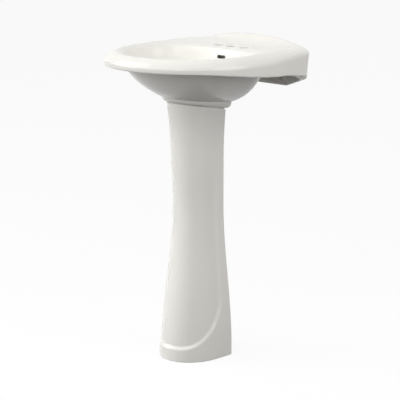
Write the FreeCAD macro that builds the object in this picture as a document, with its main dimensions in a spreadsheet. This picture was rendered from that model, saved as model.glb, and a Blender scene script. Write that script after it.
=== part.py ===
import FreeCAD, Part
import math
import os
from collections import namedtuple

import Sketcher
from FreeCAD import Placement, Rotation, Vector

# Pedestal sink. Millimetres, +Z up, +Y to the wall, origin on the floor under the middle of the basin.
# Every piece is drawn round the drain axis and then moved back or forward with it.

# Driving sizes
SIZES = {
    # Basin plan, measured from the drain axis
    "rim_half_width": 242,
    "rim_front_reach": 228,
    "rim_back_reach": 252,
    "rim_back_half_width": 220,
    "bowl_half_width": 190,
    "bowl_front_reach": 178,
    "bowl_back_reach": 120,
    # Seam of the basin and the pedestal above the floor, and the bowl's floor above the seam
    "seam_height": 713.7,
    "seam_slope": 0.164,
    "bowl_floor_height": 38.3,
    # Apron's lower edge and the deck above the bowl's floor, and the arch above the deck
    "apron_front_height": 74,
    "apron_back_height": 52,
    "deck_height": 112,
    "arch_height": 28,
    # Rim's outer edge above the apron's lower edge, and its crown above the outer edge
    "edge_front_height": 15,
    "edge_back_height": 57,
    "crown_front_height": 22,
    "crown_back_height": 12,
    # Basin sections
    "crown_inset": 28,
    "lip_drop": 9.6,
    "lip_back_width": 32,
    "lip_back_drop": 8,
    "deck_sweep": 62,
    "deck_thickness": 13,
    "rim_thickness": 12,
    "apron_thickness": 14,
    "apron_draft": 7,
    "bowl_wall": 10,
    "bowl_back_wall": 20,
    "flange_drop": 46,
    "flange_end_drop": 18,
    "flange_slope": 82,
    "flange_side_reach": 70,
    "trough_fillet": 9,
    "root_fillet": 6,
    "wall_trim": 1.5,
    # Collar that stands on the pedestal, and the gasket between them
    "collar_half_width": 81,
    "collar_front_reach": 74.5,
    "collar_back_reach": 103,
    "collar_thickness": 14.2,
    "collar_slope": 0.103,
    "collar_round": 9.5,
    "collar_back_round": 15,
    "gasket_thickness": 3,
    "gasket_inset": 2.5,
    # Openings of the basin, with the middle of the overflow measured down from the deck
    "faucet_hole_radius": 16,
    "faucet_hole_spacing": 50.8,
    "faucet_hole_wall_gap": 93.5,
    "overflow_height": 27,
    "overflow_width": 34,
    "overflow_tall": 10,
    "channel_depth": 7.5,
    "channel_width": 30,
    "channel_knee_rise": 33,
    "wall_bolt_spacing": 236,
    "wall_bolt_radius": 6,
    "wall_lug_radius": 15,
    "wall_lug_depth": 18,
    "wall_bolt_drop": 23,
    # Pedestal, with the foot measured up from the floor
    "pedestal_setback": 12,
    "foot_half_width": 88.5,
    "foot_front_reach": 102,
    "foot_back_reach": 69.5,
    "waist_half_width": 62,
    "waist_front_reach": 64,
    "waist_back_reach": 60,
    "neck_half_width": 74,
    "neck_front_reach": 74,
    "neck_back_reach": 56,
    "foot_flare_start": 29,
    "foot_flare_end": 439,
    "pedestal_wall": 11,
    "panel_recess": 5,
    "panel_edge_height": 39.8,
    "panel_edge_front": 8.5,
    "panel_edge_back": 29.5,
    "panel_corner_height": 170,
    "back_return": 18,
    "foot_lug_width": 40,
    "foot_lug_depth": 30,
    "foot_lug_height": 14,
    "floor_screw_radius": 4,
    "floor_screw_spacing": 112,
    # Upper part of the pedestal, measured down from the seam
    "neck_flare_start": 138.7,
    "panel_fade_start": 263.7,
    "panel_fade_end": 113.7,
    # Waste
    "drain_body_radius": 21,
    "drain_body_wall": 2.5,
    "drain_body_length": 92,
    "drain_flange_radius": 31.5,
    "drain_flange_thickness": 3.5,
    "drain_seal_thickness": 1.5,
    "drain_seal_margin": 1.5,
    "drain_hole_clearance": 2,
    "boss_radius": 36,
    "boss_depth": 48,
    "port_width": 14,
    "port_height": 10,
    "port_drop": 21,
    "drain_gasket_thickness": 8,
    "drain_gasket_radius": 33,
    "drain_washer_thickness": 2,
    "locknut_flats": 56,
    "locknut_height": 12,
    "thread_clearance": 0.15,
    "cut_overrun": 1,
    # Push-button stopper
    "stopper_travel": 10,
    "stopper_gap": 0.3,
    "stopper_cap_radius": 28,
    "stopper_cap_height": 5.5,
    "stopper_seal_thickness": 2.5,
    "stopper_seal_width": 7,
    "stopper_seal_inset": 1,
    "stem_radius": 4,
    "stem_length": 48,
    "stem_collar_radius": 8.5,
    "stem_collar_thickness": 2,
    "stem_collar_drop": 4,
    "guide_clearance": 0.3,
    "cartridge_ledge": 52,
    "cartridge_ring_width": 3.4,
    "cartridge_ring_height": 5,
    "cartridge_sleeve_wall": 3,
    "guide_length": 17,
    "cartridge_spoke_width": 4,
    "ledge_width": 2.5,
    "spring_wire_radius": 0.6,
    "spring_turns": 5,
    # Tailpiece and trap
    "tail_radius": 16,
    "tail_wall": 1.2,
    "tail_length": 122,
    "tail_flange_width": 4.5,
    "tail_flange_thickness": 2,
    "tail_seal_thickness": 2,
    "slip_clearance": 0.4,
    "slip_depth": 35,
    "slip_thread_length": 14,
    "slip_thread_wall": 2,
    "slip_washer_thickness": 4,
    "slip_nut_lip": 3,
    "slip_nut_wall": 4,
    "trap_wall": 1.2,
    "trap_bend_radius": 28,
    "trap_inlet_drop": 65,
    "trap_outlet_rise": 50,
    "union_washer_thickness": 2,
    "elbow_flange_thickness": 2,
    "elbow_rise": 24,
    "elbow_bend_radius": 20,
    "elbow_reach": 14,
}

# Shape of the curves: powers and shares with no unit
FRONT_POWER = 2.08
SIDE_POWER = 2.2
BOWL_BACK_POWER = 2.6
OUTSIDE_BACK_POWER = 5
CORNER_SHARPNESS = 30
ARCH_POWER = 2.33
RISE_START = 0.76
APRON_RISE_END = 0.5
RIM_POWER = 1.5
LIP_SPAN = 0.6
LIP_POWER = 2
LIP_BACK_POWER = 1.5
BOWL_SIDE_POWER = 0.30
BOWL_FRONT_POWER = 0.38
BOWL_BACK_FILL = 0.24
OUTSIDE_FILL = 0.78
OUTSIDE_BACK_FILL = 0.154
NECK_POWER = 1.8
PANEL_POWER = 1.6
PEDESTAL_TAPER = 0.97

# Where the rings of each band lie, as shares of the way across it
BOWL_STEPS = (0, 0.012, 0.04, 0.09, 0.17, 0.28, 0.42, 0.6, 0.8, 1)
LIP_STEPS = (0.25, 0.6, 1)
# Way out from the crown to the outer edge, and climb of the back from the deck to the arch
RIM_STEPS = ((0, 0.04), (0.35, 0.2), (0.65, 0.6), (0.85, 1.0), (0.95, 0.97), (1, 0.8))
OUTSIDE_STEPS = (1, 0.8, 0.6, 0.42, 0.27, 0.14, 0.05, 0)
COLUMN_STEPS = 16
PANEL_STEPS = 12
# Half widths and heights of the stopper's domed cap, as shares of its own
CAP_PROFILE = ((1, 0.45), (0.93, 0.7), (0.75, 0.87), (0.45, 0.96))

# Angles in degrees between the points of a ring, and out from its back corners
BASIN_STEP = 6.0
BASIN_CORNER = (0.0, 1.0, 2.0, 3.5, 5.5, 8.0, 11.0)
PEDESTAL_STEP = 7.5
PEDESTAL_CORNER = (0.0, 2.0, 4.0, 6.0, 8.5, 12.0)

doc = FreeCAD.newDocument("PedestalSink")
sheet = doc.addObject("Spreadsheet::Sheet", "Sizes")
for row, (alias, value) in enumerate(SIZES.items(), start=1):
    sheet.set(f"A{row}", alias)
    sheet.set(f"B{row}", str(value))
    sheet.setAlias(f"B{row}", alias)
doc.recompute()


def size(alias):
    return float(getattr(sheet, alias))


def cell(alias):
    return f"Sizes.{alias}"


# Levels and places as formulas of the sheet
DRAIN_Y = "(Sizes.rim_front_reach - Sizes.rim_back_reach) / 2"
PEDESTAL_Y = f"({DRAIN_Y} + Sizes.pedestal_setback)"
FLOOR = "(Sizes.seam_height + Sizes.bowl_floor_height)"
DECK = f"({FLOOR} + Sizes.deck_height)"
ARCH = f"({DECK} + Sizes.arch_height)"
BOLT_LEVEL = f"({FLOOR} + Sizes.apron_back_height - Sizes.wall_bolt_drop)"
RECESS = f"({FLOOR} - Sizes.drain_flange_thickness - Sizes.drain_seal_thickness)"
FLANGE_UNDER = f"({FLOOR} - Sizes.drain_flange_thickness)"
BOSS_UNDER = f"({FLOOR} - Sizes.boss_depth)"
GASKET_UNDER = f"({BOSS_UNDER} - Sizes.drain_gasket_thickness)"
WASHER_UNDER = f"({GASKET_UNDER} - Sizes.drain_washer_thickness)"
LOCKNUT_UNDER = f"({WASHER_UNDER} - Sizes.locknut_height)"
BODY_END = f"({FLOOR} - Sizes.drain_body_length)"
BODY_BORE = "(Sizes.drain_body_radius - Sizes.drain_body_wall)"
LEDGE = f"({FLOOR} - Sizes.cartridge_ledge)"
LEDGE_BORE = f"({BODY_BORE} - Sizes.ledge_width)"
PORT_MIDDLE = f"({FLOOR} - Sizes.port_drop)"
SEAL_UNDER = f"({FLOOR} + Sizes.stopper_gap)"
CAP_UNDER = f"({SEAL_UNDER} + Sizes.stopper_seal_thickness)"
COLLAR_UNDER = f"({CAP_UNDER} - Sizes.stem_collar_drop - Sizes.stem_collar_thickness)"
SLEEVE_BORE = "(Sizes.stem_radius + Sizes.guide_clearance)"
SLEEVE_RADIUS = f"({SLEEVE_BORE} + Sizes.cartridge_sleeve_wall)"
SLEEVE_HEIGHT = "(Sizes.guide_length + Sizes.stopper_travel)"
SLEEVE_TOP = f"({LEDGE} + {SLEEVE_HEIGHT})"
TAIL_TOP = f"({BODY_END} - Sizes.tail_seal_thickness)"
TAIL_FLANGE_UNDER = f"({TAIL_TOP} - Sizes.tail_flange_thickness)"
TAIL_FLANGE = "(Sizes.tail_radius + Sizes.tail_flange_width)"
TAIL_END = f"({TAIL_TOP} - Sizes.tail_length)"
TRAP_TOP = f"({TAIL_END} + Sizes.slip_depth)"
TRAP_BORE = "(Sizes.tail_radius + Sizes.slip_clearance)"
TRAP_RADIUS = f"({TRAP_BORE} + Sizes.trap_wall)"
THREAD_RADIUS = f"({TRAP_RADIUS} + Sizes.slip_thread_wall)"
NUT_BORE = f"({THREAD_RADIUS} + Sizes.thread_clearance)"
NUT_RADIUS = f"({NUT_BORE} + Sizes.slip_nut_wall)"
BEND_LEVEL = f"({TRAP_TOP} - Sizes.trap_inlet_drop - Sizes.slip_depth)"
OUTLET_Y = "(2 * Sizes.trap_bend_radius)"
OUTLET_TOP = f"({BEND_LEVEL} + Sizes.trap_outlet_rise)"
ELBOW_START = f"({OUTLET_TOP} + Sizes.union_washer_thickness)"
ELBOW_BEND = f"({ELBOW_START} + Sizes.elbow_rise)"
ELBOW_LEVEL = f"({ELBOW_BEND} + Sizes.elbow_bend_radius)"
ELBOW_END = f"({OUTLET_Y} + Sizes.elbow_bend_radius + Sizes.elbow_reach)"
OUTLET_THREAD = "(Sizes.elbow_reach / 2)"
OVER = cell("cut_overrun")


def level(formula):
    """The number that a formula of the sheet gives now."""
    return float(sheet.evalExpression(formula))


def clamp(value):
    return min(1.0, max(0.0, value))


def smooth(value):
    share = clamp(value)
    return share * share * (3 - 2 * share)


# Rings: closed plan curves round an axis, a reach for each angle

Plan = namedtuple("Plan", "half front back back_power back_half")


def superellipse(angle, across, along, power):
    total = abs(math.cos(angle) / across) ** power + abs(math.sin(angle) / along) ** power
    return total ** (-1 / power)


def reach(angle, plan):
    """Distance from the axis to the plan's edge: oval in front, and oval or square-backed behind."""
    if math.sin(angle) <= 0:
        return superellipse(angle, plan.half, plan.front, FRONT_POWER)
    if plan.back_half is None:
        return superellipse(angle, plan.half, plan.back, plan.back_power)
    taper = (plan.back_half / plan.half) ** SIDE_POWER
    along = plan.back / (1 - taper) ** (1 / SIDE_POWER)
    side = superellipse(angle, plan.half, along, SIDE_POWER)
    flat = plan.back / math.sin(angle)
    return (side ** -plan.back_power + flat ** -plan.back_power) ** (-1 / plan.back_power)


def ring_angles(corner, step, near):
    """Angles round a ring from the front middle, closer together near its back corners."""
    right = []
    angle = -90.0
    while angle < corner - near[-1] - step / 2:
        right.append(angle)
        angle += step
    right += [corner - offset for offset in reversed(near[1:])]
    right += [corner + offset for offset in near]
    rest = int((90 - right[-1]) / step)
    gap = (90 - right[-1]) / (rest + 1)
    start = right[-1]
    right += [start + gap * (i + 1) for i in range(rest)]
    left = [180 - angle for angle in reversed(right[1:])]
    return right + [90.0] + left


def ring(angles, plan, height):
    """One closed curve: height is a function of x and y."""
    points = []
    for degrees in angles:
        angle = math.radians(degrees)
        away = reach(angle, plan)
        x = away * math.cos(angle)
        y = away * math.sin(angle)
        points.append(Vector(x, y, height(x, y)))
    curve = Part.BSplineCurve()
    curve.interpolate(Points=points, PeriodicFlag=True, Parameters=angles + [angles[0] + 360])
    return Part.Wire(curve.toShape())


def closed_solid(faces):
    shell = Part.Compound(faces)
    shell.sewShape()
    solid = Part.Solid(shell.Shells[0])
    if solid.Volume < 0:
        solid.reverse()
    return solid


def feature(label, shape):
    item = doc.addObject("Part::Feature", label)
    item.Shape = shape
    return item


# Basin

def rim_plan(inset, back_inset, draft=0.0):
    """Plan of the rim, run past the wall by what is trimmed off to leave the back flat."""
    return Plan(size("rim_half_width") - inset, size("rim_front_reach") - inset,
                size("rim_back_reach") + size("wall_trim") - back_inset, CORNER_SHARPNESS,
                size("rim_back_half_width") - inset - draft)


def rise(y, end=1.0):
    """How far the rim has risen from the front to the wall, or to a share of the way to it."""
    start = -RISE_START * size("rim_front_reach")
    return smooth((y - start) / (end * size("rim_back_reach") - start))


def along_rim(name, share):
    """A height of the rim between its values at the front and at the back."""
    front = size(f"{name}_front_height")
    back = size(f"{name}_back_height")
    return front + (back - front) * share


def lower_height(y):
    return level(FLOOR) + along_rim("apron", rise(y, APRON_RISE_END))


def edge_height(y):
    return level(FLOOR) + along_rim("apron", rise(y)) + along_rim("edge", rise(y))


def crown_height(y):
    return edge_height(y) + along_rim("crown", rise(y))


def apron_height(x, y):
    """Lower edge of the apron, with the wall flange hanging below it at the back, deeper between its ends."""
    fade = size("flange_side_reach") - size("apron_thickness")
    near_wall = smooth((y - size("rim_back_reach") + size("flange_side_reach")) / fade)
    end = size("rim_back_half_width") - size("apron_draft")
    drop = size("flange_end_drop")
    drop += (size("flange_drop") - drop) * clamp((end - abs(x)) / size("flange_slope"))
    return lower_height(y) - drop * near_wall


def back_share(x, y, half):
    return max(0.0, 1 - abs(x / half) ** ARCH_POWER) if y > 0 else 0.0


def mixed(side, back, half):
    """Height of a ring from its height along the side, a function of y, and at the middle of the back."""
    def height(x, y):
        share = back_share(x, y, half)
        return side(y) * (1 - share) + back * share
    return height


def roof_height(half, drop):
    """Roof of the trough under the rim and the deck, less a drop, as a function of x and y."""
    side = crown_height(-size("rim_front_reach")) - size("rim_thickness") - drop
    back = level(DECK) - size("deck_thickness") - drop
    return mixed(lambda y: side, back, half)


def bowl_ring(angles, share):
    """Ring inside the bowl: share runs from 0 at the floor to 1 at the bowl's edge."""
    floor_radius = size("boss_radius")
    half = floor_radius + (size("bowl_half_width") - floor_radius) * share ** BOWL_SIDE_POWER
    front = floor_radius + (size("bowl_front_reach") - floor_radius) * share ** BOWL_FRONT_POWER
    back = floor_radius + (size("bowl_back_reach") - floor_radius) * share ** BOWL_BACK_FILL
    power = 2 + (BOWL_BACK_POWER - 2) * share
    floor = level(FLOOR)
    edge = mixed(lambda y: crown_height(y) - size("lip_drop"), level(DECK) - size("lip_back_drop"),
                 size("bowl_half_width"))

    def height(x, y):
        grow = size("bowl_half_width") / half
        return floor + (edge(x * grow, y * grow) - floor) * share

    return ring(angles, Plan(half, front, back, power, None), height)


def lip_ring(angles, share):
    """Ring on the bowl's rolled lip: share runs from 0 at the bowl's edge to 1 near the crown."""
    roll = LIP_SPAN * share
    half = size("bowl_half_width")
    half += (size("rim_half_width") - size("crown_inset") - half) * roll
    front = size("bowl_front_reach")
    front += (size("rim_front_reach") - size("crown_inset") - front) * roll
    back = size("bowl_back_reach") + size("lip_back_width") * share ** LIP_BACK_POWER
    drop = size("lip_drop") * (1 - roll) ** LIP_POWER
    back_drop = size("lip_back_drop") * (1 - share) ** LIP_POWER
    return ring(angles, Plan(half, front, back, BOWL_BACK_POWER, None),
                mixed(lambda y: crown_height(y) - drop, level(DECK) - back_drop, half))


def rim_ring(angles, out, climb):
    """Ring on the rim: out runs from 0 at the crown to 1 at the edge, climb is the share of the arch."""
    inset = size("crown_inset") * (1 - out)
    plan = rim_plan(inset, size("deck_sweep") * (1 - out))
    fall = (1 - out ** RIM_POWER) ** (1 / RIM_POWER)
    back = level(DECK) + size("arch_height") * climb
    return ring(angles, plan, mixed(
        lambda y: edge_height(y) + (crown_height(y) - edge_height(y)) * fall, back, plan.back_half))


def apron_ring(angles, inset, lift):
    """Ring on the apron's foot, drawn in at its back corners."""
    plan = rim_plan(inset, inset, size("apron_draft"))
    return ring(angles, plan, lambda x, y: apron_height(x, y) + lift)


def collar_level(y, share):
    """Height on the collar, from 0 at its underside to 1 at its upper edge, which is less tilted."""
    low = -size("seam_slope") * y
    high = size("collar_thickness") - size("collar_slope") * y
    return level("Sizes.seam_height + Sizes.gasket_thickness") + low + (high - low) * share


def outside_ring(angles, share):
    """Ring outside the bowl: share runs from 0 at the collar to 1 under the rim."""
    swell = share * (1 + OUTSIDE_FILL) / (share + OUTSIDE_FILL)
    back_swell = share * (1 + OUTSIDE_BACK_FILL) / (share + OUTSIDE_BACK_FILL)
    wall = size("bowl_wall")
    half = size("collar_half_width")
    half += (size("bowl_half_width") + wall - half) * swell
    front = size("collar_front_reach")
    front += (size("bowl_front_reach") + wall - front) * swell
    back = size("collar_back_reach")
    back += (size("bowl_back_reach") + size("bowl_back_wall") - back) * back_swell
    top = roof_height(half, size("root_fillet"))
    return ring(angles, Plan(half, front, back, OUTSIDE_BACK_POWER, None),
                lambda x, y: collar_level(y, 1) * (1 - share) + top(x, y) * share)


def collar_ring(angles, inset, back_inset, share):
    plan = Plan(size("collar_half_width") - inset, size("collar_front_reach") - inset,
                size("collar_back_reach") - back_inset, OUTSIDE_BACK_POWER, None)
    return ring(angles, plan, lambda x, y: collar_level(y, share))


def roof_ring(angles, inset, back_inset, drop):
    """Ring in the trough under the rim, drop below its roof."""
    plan = rim_plan(inset, back_inset)
    return ring(angles, plan, roof_height(plan.back_half, drop))


def bowl_root_ring(angles):
    """Where the trough's roof turns down into the outside of the bowl."""
    turn = size("root_fillet")
    out = size("bowl_wall") + turn
    back = size("bowl_back_reach") + size("bowl_back_wall") + turn
    half = size("bowl_half_width") + out
    plan = Plan(half, size("bowl_front_reach") + out, back, OUTSIDE_BACK_POWER, None)
    return ring(angles, plan, roof_height(half, 0))


def smooth_band(rings):
    return Part.makeLoft(rings, False, False, False, 3).Faces


def straight_band(first, second):
    return Part.makeLoft([first, second], False, True).Faces


def round_steps(degrees):
    """Way in and way left to go at points of a quarter or half turn, as shares of its radius."""
    turns = [math.radians(angle) for angle in degrees]
    return [(1 - math.cos(turn), 1 - math.sin(turn)) for turn in turns]


def basin_blank():
    """The cast shape as bands of rings: bowl and rim, apron's foot, trough, outside of the bowl, collar."""
    corner = math.degrees(math.atan2(size("rim_back_reach"), size("rim_back_half_width")))
    angles = ring_angles(corner, BASIN_STEP, BASIN_CORNER)
    wall = size("apron_thickness")

    top = [bowl_ring(angles, share) for share in BOWL_STEPS]
    top += [lip_ring(angles, share) for share in LIP_STEPS]
    top += [rim_ring(angles, out, climb) for out, climb in RIM_STEPS]
    foot = [apron_ring(angles, wall / 2 * across, wall / 2 * left)
            for across, left in round_steps((0, 45, 90, 135, 180))]
    roof = []
    for across, left in round_steps((0, 45, 90)):
        inset = wall + size("trough_fillet") * across
        roof.append(roof_ring(angles, inset, inset, size("trough_fillet") * left))
    outside = [bowl_root_ring(angles)]
    outside += [outside_ring(angles, share) for share in OUTSIDE_STEPS]
    collar = [outside[-1]]
    collar += [collar_ring(angles, size("collar_round") * across, size("collar_back_round") * across, left)
               for across, left in round_steps((30, 60, 90))]

    faces = []
    for rings in (top, foot, roof, outside, collar):
        faces += smooth_band(rings)
    for upper, lower in ((top, foot), (foot, roof), (roof, outside)):
        faces += straight_band(upper[-1], lower[0])
    faces += [Part.Face(top[0]), Part.Face(collar[-1])]
    return closed_solid(faces)


def cylinder(label, radius, height, place, rotation=None):
    """Cylinder with its radius, height and place bound to formulas."""
    item = doc.addObject("Part::Cylinder", label)
    item.setExpression("Radius", radius)
    item.setExpression("Height", height)
    if rotation is not None:
        item.Placement = Placement(Vector(0, 0, 0), rotation)
    for axis, formula in zip("xyz", place):
        item.setExpression(f"Placement.Base.{axis}", formula)
    return item


def joined(label, items):
    fuse = doc.addObject("Part::MultiFuse", label)
    fuse.Shapes = items
    fuse.Refine = False
    return fuse


def cut(label, base, tool):
    item = doc.addObject("Part::Cut", label)
    item.Base = base
    item.Tool = tool
    item.Refine = False
    return item


ALONG_Y = Rotation(Vector(1, 0, 0), -90)
SIDES = (("left", -1), ("right", 1))


def overflow_channel():
    """Slot through the bowl's back and the passage behind it, down and forward to the drain hole."""
    half = size("channel_width") / 2
    depth = size("channel_depth")
    inner = size("bowl_back_reach")
    outer = inner + depth
    bend = inner - depth
    middle = level(DECK) - size("overflow_height")
    slot_radius = size("overflow_tall") / 2
    floor = level(FLOOR)
    knee = floor + size("channel_knee_rise")
    hole = size("drain_body_radius")
    port = level(PORT_MIDDLE)
    tall = size("port_height") / 2
    top = middle + slot_radius
    down = [(inner, top), (outer, top), (outer, knee), (bend + depth / 2, floor - depth / 2)]
    back_up = [(hole, port - tall), (hole, port + tall), (bend, floor + depth / 2), (inner, knee)]
    points = [Vector(-half, y, z) for y, z in down + back_up]
    passage = Part.Face(Part.makePolygon(points + points[:1])).extrude(Vector(2 * half, 0, 0))

    slot_half = size("overflow_width") / 2 - slot_radius
    start = size("boss_radius")
    long = outer - start
    corner = Vector(-slot_half, start, middle - slot_radius)
    pieces = [Part.makeBox(2 * slot_half, long, 2 * slot_radius, corner)]
    for side, sign in SIDES:
        end = Vector(sign * slot_half, start, middle)
        pieces.append(Part.makeCylinder(slot_radius, long, end, Vector(0, 1, 0)))
    return feature("overflow_passage", passage.fuse(pieces))


def behind_wall():
    """Block on the far side of the wall, which trims the basin's back flat."""
    block = doc.addObject("Part::Box", "behind_wall")
    block.setExpression("Length", "2 * Sizes.rim_half_width")
    block.setExpression("Width", cell("rim_half_width"))
    block.setExpression("Height", f"2 * {ARCH}")
    block.setExpression("Placement.Base.x", "-Sizes.rim_half_width")
    block.setExpression("Placement.Base.y", cell("rim_back_reach"))
    return block


def make_basin():
    blank = feature("basin_blank", basin_blank())
    boss = cylinder("drain_boss", cell("boss_radius"), f"{RECESS} - {BOSS_UNDER}", ("0", "0", BOSS_UNDER))
    tools = [overflow_channel()]
    lugs = []
    for side, sign in SIDES:
        bolt_x = f"{sign} * Sizes.wall_bolt_spacing / 2"
        lugs.append(cylinder(f"wall_lug_{side}", cell("wall_lug_radius"),
                             "Sizes.wall_lug_depth + Sizes.wall_trim",
                             (bolt_x, "Sizes.rim_back_reach - Sizes.wall_lug_depth", BOLT_LEVEL), ALONG_Y))
        hole_place = (bolt_x, "Sizes.rim_back_reach - 3 * Sizes.apron_thickness", BOLT_LEVEL)
        tools.append(cylinder(f"wall_bolt_hole_{side}", cell("wall_bolt_radius"),
                              "4 * Sizes.apron_thickness", hole_place, ALONG_Y))
    cast = joined("basin_cast", [blank, boss] + lugs)

    faucet_y = "Sizes.rim_back_reach - Sizes.faucet_hole_wall_gap"
    for index in range(3):
        place = (f"{index - 1} * Sizes.faucet_hole_spacing", faucet_y, f"{DECK} - 2 * Sizes.deck_thickness")
        tools.append(cylinder(f"faucet_hole_{index}", cell("faucet_hole_radius"), f"{ARCH} - {FLOOR}", place))
    tools.append(cylinder("drain_hole", "Sizes.drain_body_radius + Sizes.drain_hole_clearance",
                          "2 * Sizes.boss_depth", ("0", "0", GASKET_UNDER)))
    tools.append(cylinder("flange_recess", "Sizes.drain_flange_radius + Sizes.drain_seal_margin",
                          cell("boss_depth"), ("0", "0", RECESS)))
    trimmed = cut("basin_trimmed", cast, behind_wall())
    basin = cut("basin", trimmed, joined("basin_openings", tools))
    basin.setExpression("Placement.Base.y", DRAIN_Y)
    return basin


# Pedestal

def pedestal_plan(z, inset, back_inset):
    """Plan at a height: foot, waist and neck blended by two flares."""
    span = size("foot_flare_end") - size("foot_flare_start")
    foot = 1 - smooth((z - size("foot_flare_start")) / span)
    neck = max(0.0, 1 - (size("seam_height") - z) / size("neck_flare_start")) ** NECK_POWER
    values = []
    for part in ("half_width", "front_reach", "back_reach"):
        waist = size(f"waist_{part}")
        flare = (size(f"foot_{part}") - waist) * foot + (size(f"neck_{part}") - waist) * neck
        values.append(waist + flare)
    half = values[0] - inset
    return Plan(half, values[1] - inset, values[2] - back_inset, CORNER_SHARPNESS, PEDESTAL_TAPER * half)


def pedestal_rings(heights, inset, back_inset):
    """Plans of the column at these heights: inset is a function of the height."""
    corner = math.degrees(math.atan2(size("waist_back_reach"), size("waist_half_width")))
    angles = ring_angles(corner, PEDESTAL_STEP, PEDESTAL_CORNER)
    return [ring(angles, pedestal_plan(z, inset(z), back_inset), lambda x, y, z=z: z) for z in heights]


def pedestal_tube(heights, inset):
    """Hollow column between the inside of the pedestal's wall and an outside set in from its own."""
    solid_inset = size("panel_recess") + size("pedestal_wall")
    outer = pedestal_rings(heights, lambda z: inset, inset)
    inner = pedestal_rings(heights, lambda z: solid_inset, size("pedestal_wall"))
    faces = Part.makeLoft(outer, False, False).Faces + Part.makeLoft(inner, False, False).Faces
    for end in (0, -1):
        faces.append(Part.makeFace([outer[end], inner[end]], "Part::FaceMakerBullseye"))
    return closed_solid(faces)


def seam_slab(lower, upper):
    """Block between two planes parallel to the seam, lower and upper above it."""
    wide = 2 * size("rim_half_width")
    start = size("seam_height") - size("seam_slope") * size("pedestal_setback")
    corners = []
    for y, lift in ((-wide, lower), (wide, lower), (wide, upper), (-wide, upper)):
        corners.append(Vector(-wide, y, start + lift - size("seam_slope") * y))
    return Part.Face(Part.makePolygon(corners + corners[:1])).extrude(Vector(2 * wide, 0, 0))


def seam_span():
    """How far the tilted seam can rise or fall from its middle."""
    return size("seam_slope") * size("rim_half_width")


def column_heights():
    top = size("seam_height") + seam_span()
    return [top * i / COLUMN_STEPS for i in range(COLUMN_STEPS + 1)]


def panel_tool():
    """What is taken off the front to leave the foot band and the two back strips proud."""
    far = 2 * size("foot_front_reach")
    top = size("seam_height")
    low = size("panel_edge_height")
    back = size("panel_edge_back")
    corner = size("panel_corner_height")
    front = size("panel_edge_front") - size("foot_front_reach")
    points = []
    for i in range(PANEL_STEPS + 1):
        angle = math.radians(90 * i / PANEL_STEPS)
        y = front + (back - front) * math.sin(angle) ** (2 / PANEL_POWER)
        z = corner - (corner - low) * math.cos(angle) ** (2 / PANEL_POWER)
        points.append(Vector(0, y, z))
    curve = Part.BSplineCurve()
    curve.interpolate(points)
    outline = [points[-1], Vector(0, back, top), Vector(0, -far, top), Vector(0, -far, low), points[0]]
    edges = [curve.toShape()] + [Part.LineSegment(a, b).toShape() for a, b in zip(outline, outline[1:])]
    side = Part.Face(Part.Wire(edges))
    side.translate(Vector(-far, 0, 0))
    block = side.extrude(Vector(2 * far, 0, 0))

    fade = size("panel_recess") / (size("panel_fade_start") - size("panel_fade_end"))

    def inset(z):
        return size("panel_recess") - fade * max(0.0, z - top + size("panel_fade_start"))

    return block.cut(Part.makeLoft(pedestal_rings(column_heights(), inset, 0), True, False))


def back_opening():
    """Open back of the column, between two returns that follow its sides."""
    points = [Vector(pedestal_plan(z, 0, 0).half - size("back_return"), 0, z) for z in column_heights()]
    mirror = [Vector(-p.x, p.y, p.z) for p in reversed(points)]
    sides = []
    for line in (points, mirror):
        curve = Part.BSplineCurve()
        curve.interpolate(line)
        sides.append(curve.toShape())
    edges = [sides[0], Part.LineSegment(points[-1], mirror[0]).toShape(), sides[1],
             Part.LineSegment(mirror[-1], points[0]).toShape()]
    return Part.Face(Part.Wire(edges)).extrude(Vector(0, 2 * size("foot_back_reach"), 0))


def foot_lug(side, sign):
    """Block inside the foot that a floor screw holds down, let half-way into the wall behind it."""
    lug = doc.addObject("Part::Box", f"foot_lug_{side}")
    lug.setExpression("Length", cell("foot_lug_width"))
    lug.setExpression("Width", "Sizes.foot_lug_depth + Sizes.pedestal_wall / 2")
    lug.setExpression("Height", cell("foot_lug_height"))
    middle = f"{sign} * Sizes.floor_screw_spacing / 2"
    back = "Sizes.foot_back_reach - Sizes.pedestal_wall"
    lug.setExpression("Placement.Base.x", f"{middle} - Sizes.foot_lug_width / 2")
    lug.setExpression("Placement.Base.y", f"{back} - Sizes.foot_lug_depth")
    return lug


def floor_screw_hole(side, sign):
    middle_y = "Sizes.foot_back_reach - Sizes.pedestal_wall - Sizes.foot_lug_depth / 2"
    place = (f"{sign} * Sizes.floor_screw_spacing / 2", middle_y, "-Sizes.foot_lug_height")
    return cylinder(f"floor_screw_hole_{side}", cell("floor_screw_radius"),
                    "3 * Sizes.foot_lug_height", place)


def make_pedestal():
    wall = feature("pedestal_wall_tube", pedestal_tube(column_heights(), 0))
    opened = cut("pedestal_open", wall, feature("pedestal_opening", back_opening()))
    shell = joined("pedestal_with_lugs", [opened] + [foot_lug(side, sign) for side, sign in SIDES])
    tools = [floor_screw_hole(side, sign) for side, sign in SIDES]
    tools.append(feature("pedestal_panel", panel_tool()))
    for step, tool in enumerate(tools):
        shell = cut(f"pedestal_step_{step}", shell, tool)
    pedestal = cut("pedestal", shell, feature("pedestal_above", seam_slab(0, size("rim_half_width"))))
    pedestal.setExpression("Placement.Base.y", PEDESTAL_Y)
    return pedestal


def make_gasket():
    """Strip on the pedestal's top edge, set in from the outside, under the collar."""
    heights = [size("seam_height") + seam_span() * share for share in (-1, -0.5, 0, 0.5, 1)]
    tube = pedestal_tube(heights, size("gasket_inset"))
    band = tube.cut(back_opening()).common(seam_slab(0, size("gasket_thickness")))
    gasket = feature("seat_gasket", band.Solids[0])
    gasket.setExpression("Placement.Base.y", PEDESTAL_Y)
    return gasket


# Turned, padded and swept pieces

def new_body(label, y=DRAIN_Y):
    body = doc.addObject("PartDesign::Body", label)
    body.setExpression("Placement.Base.y", y)
    return body


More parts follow.
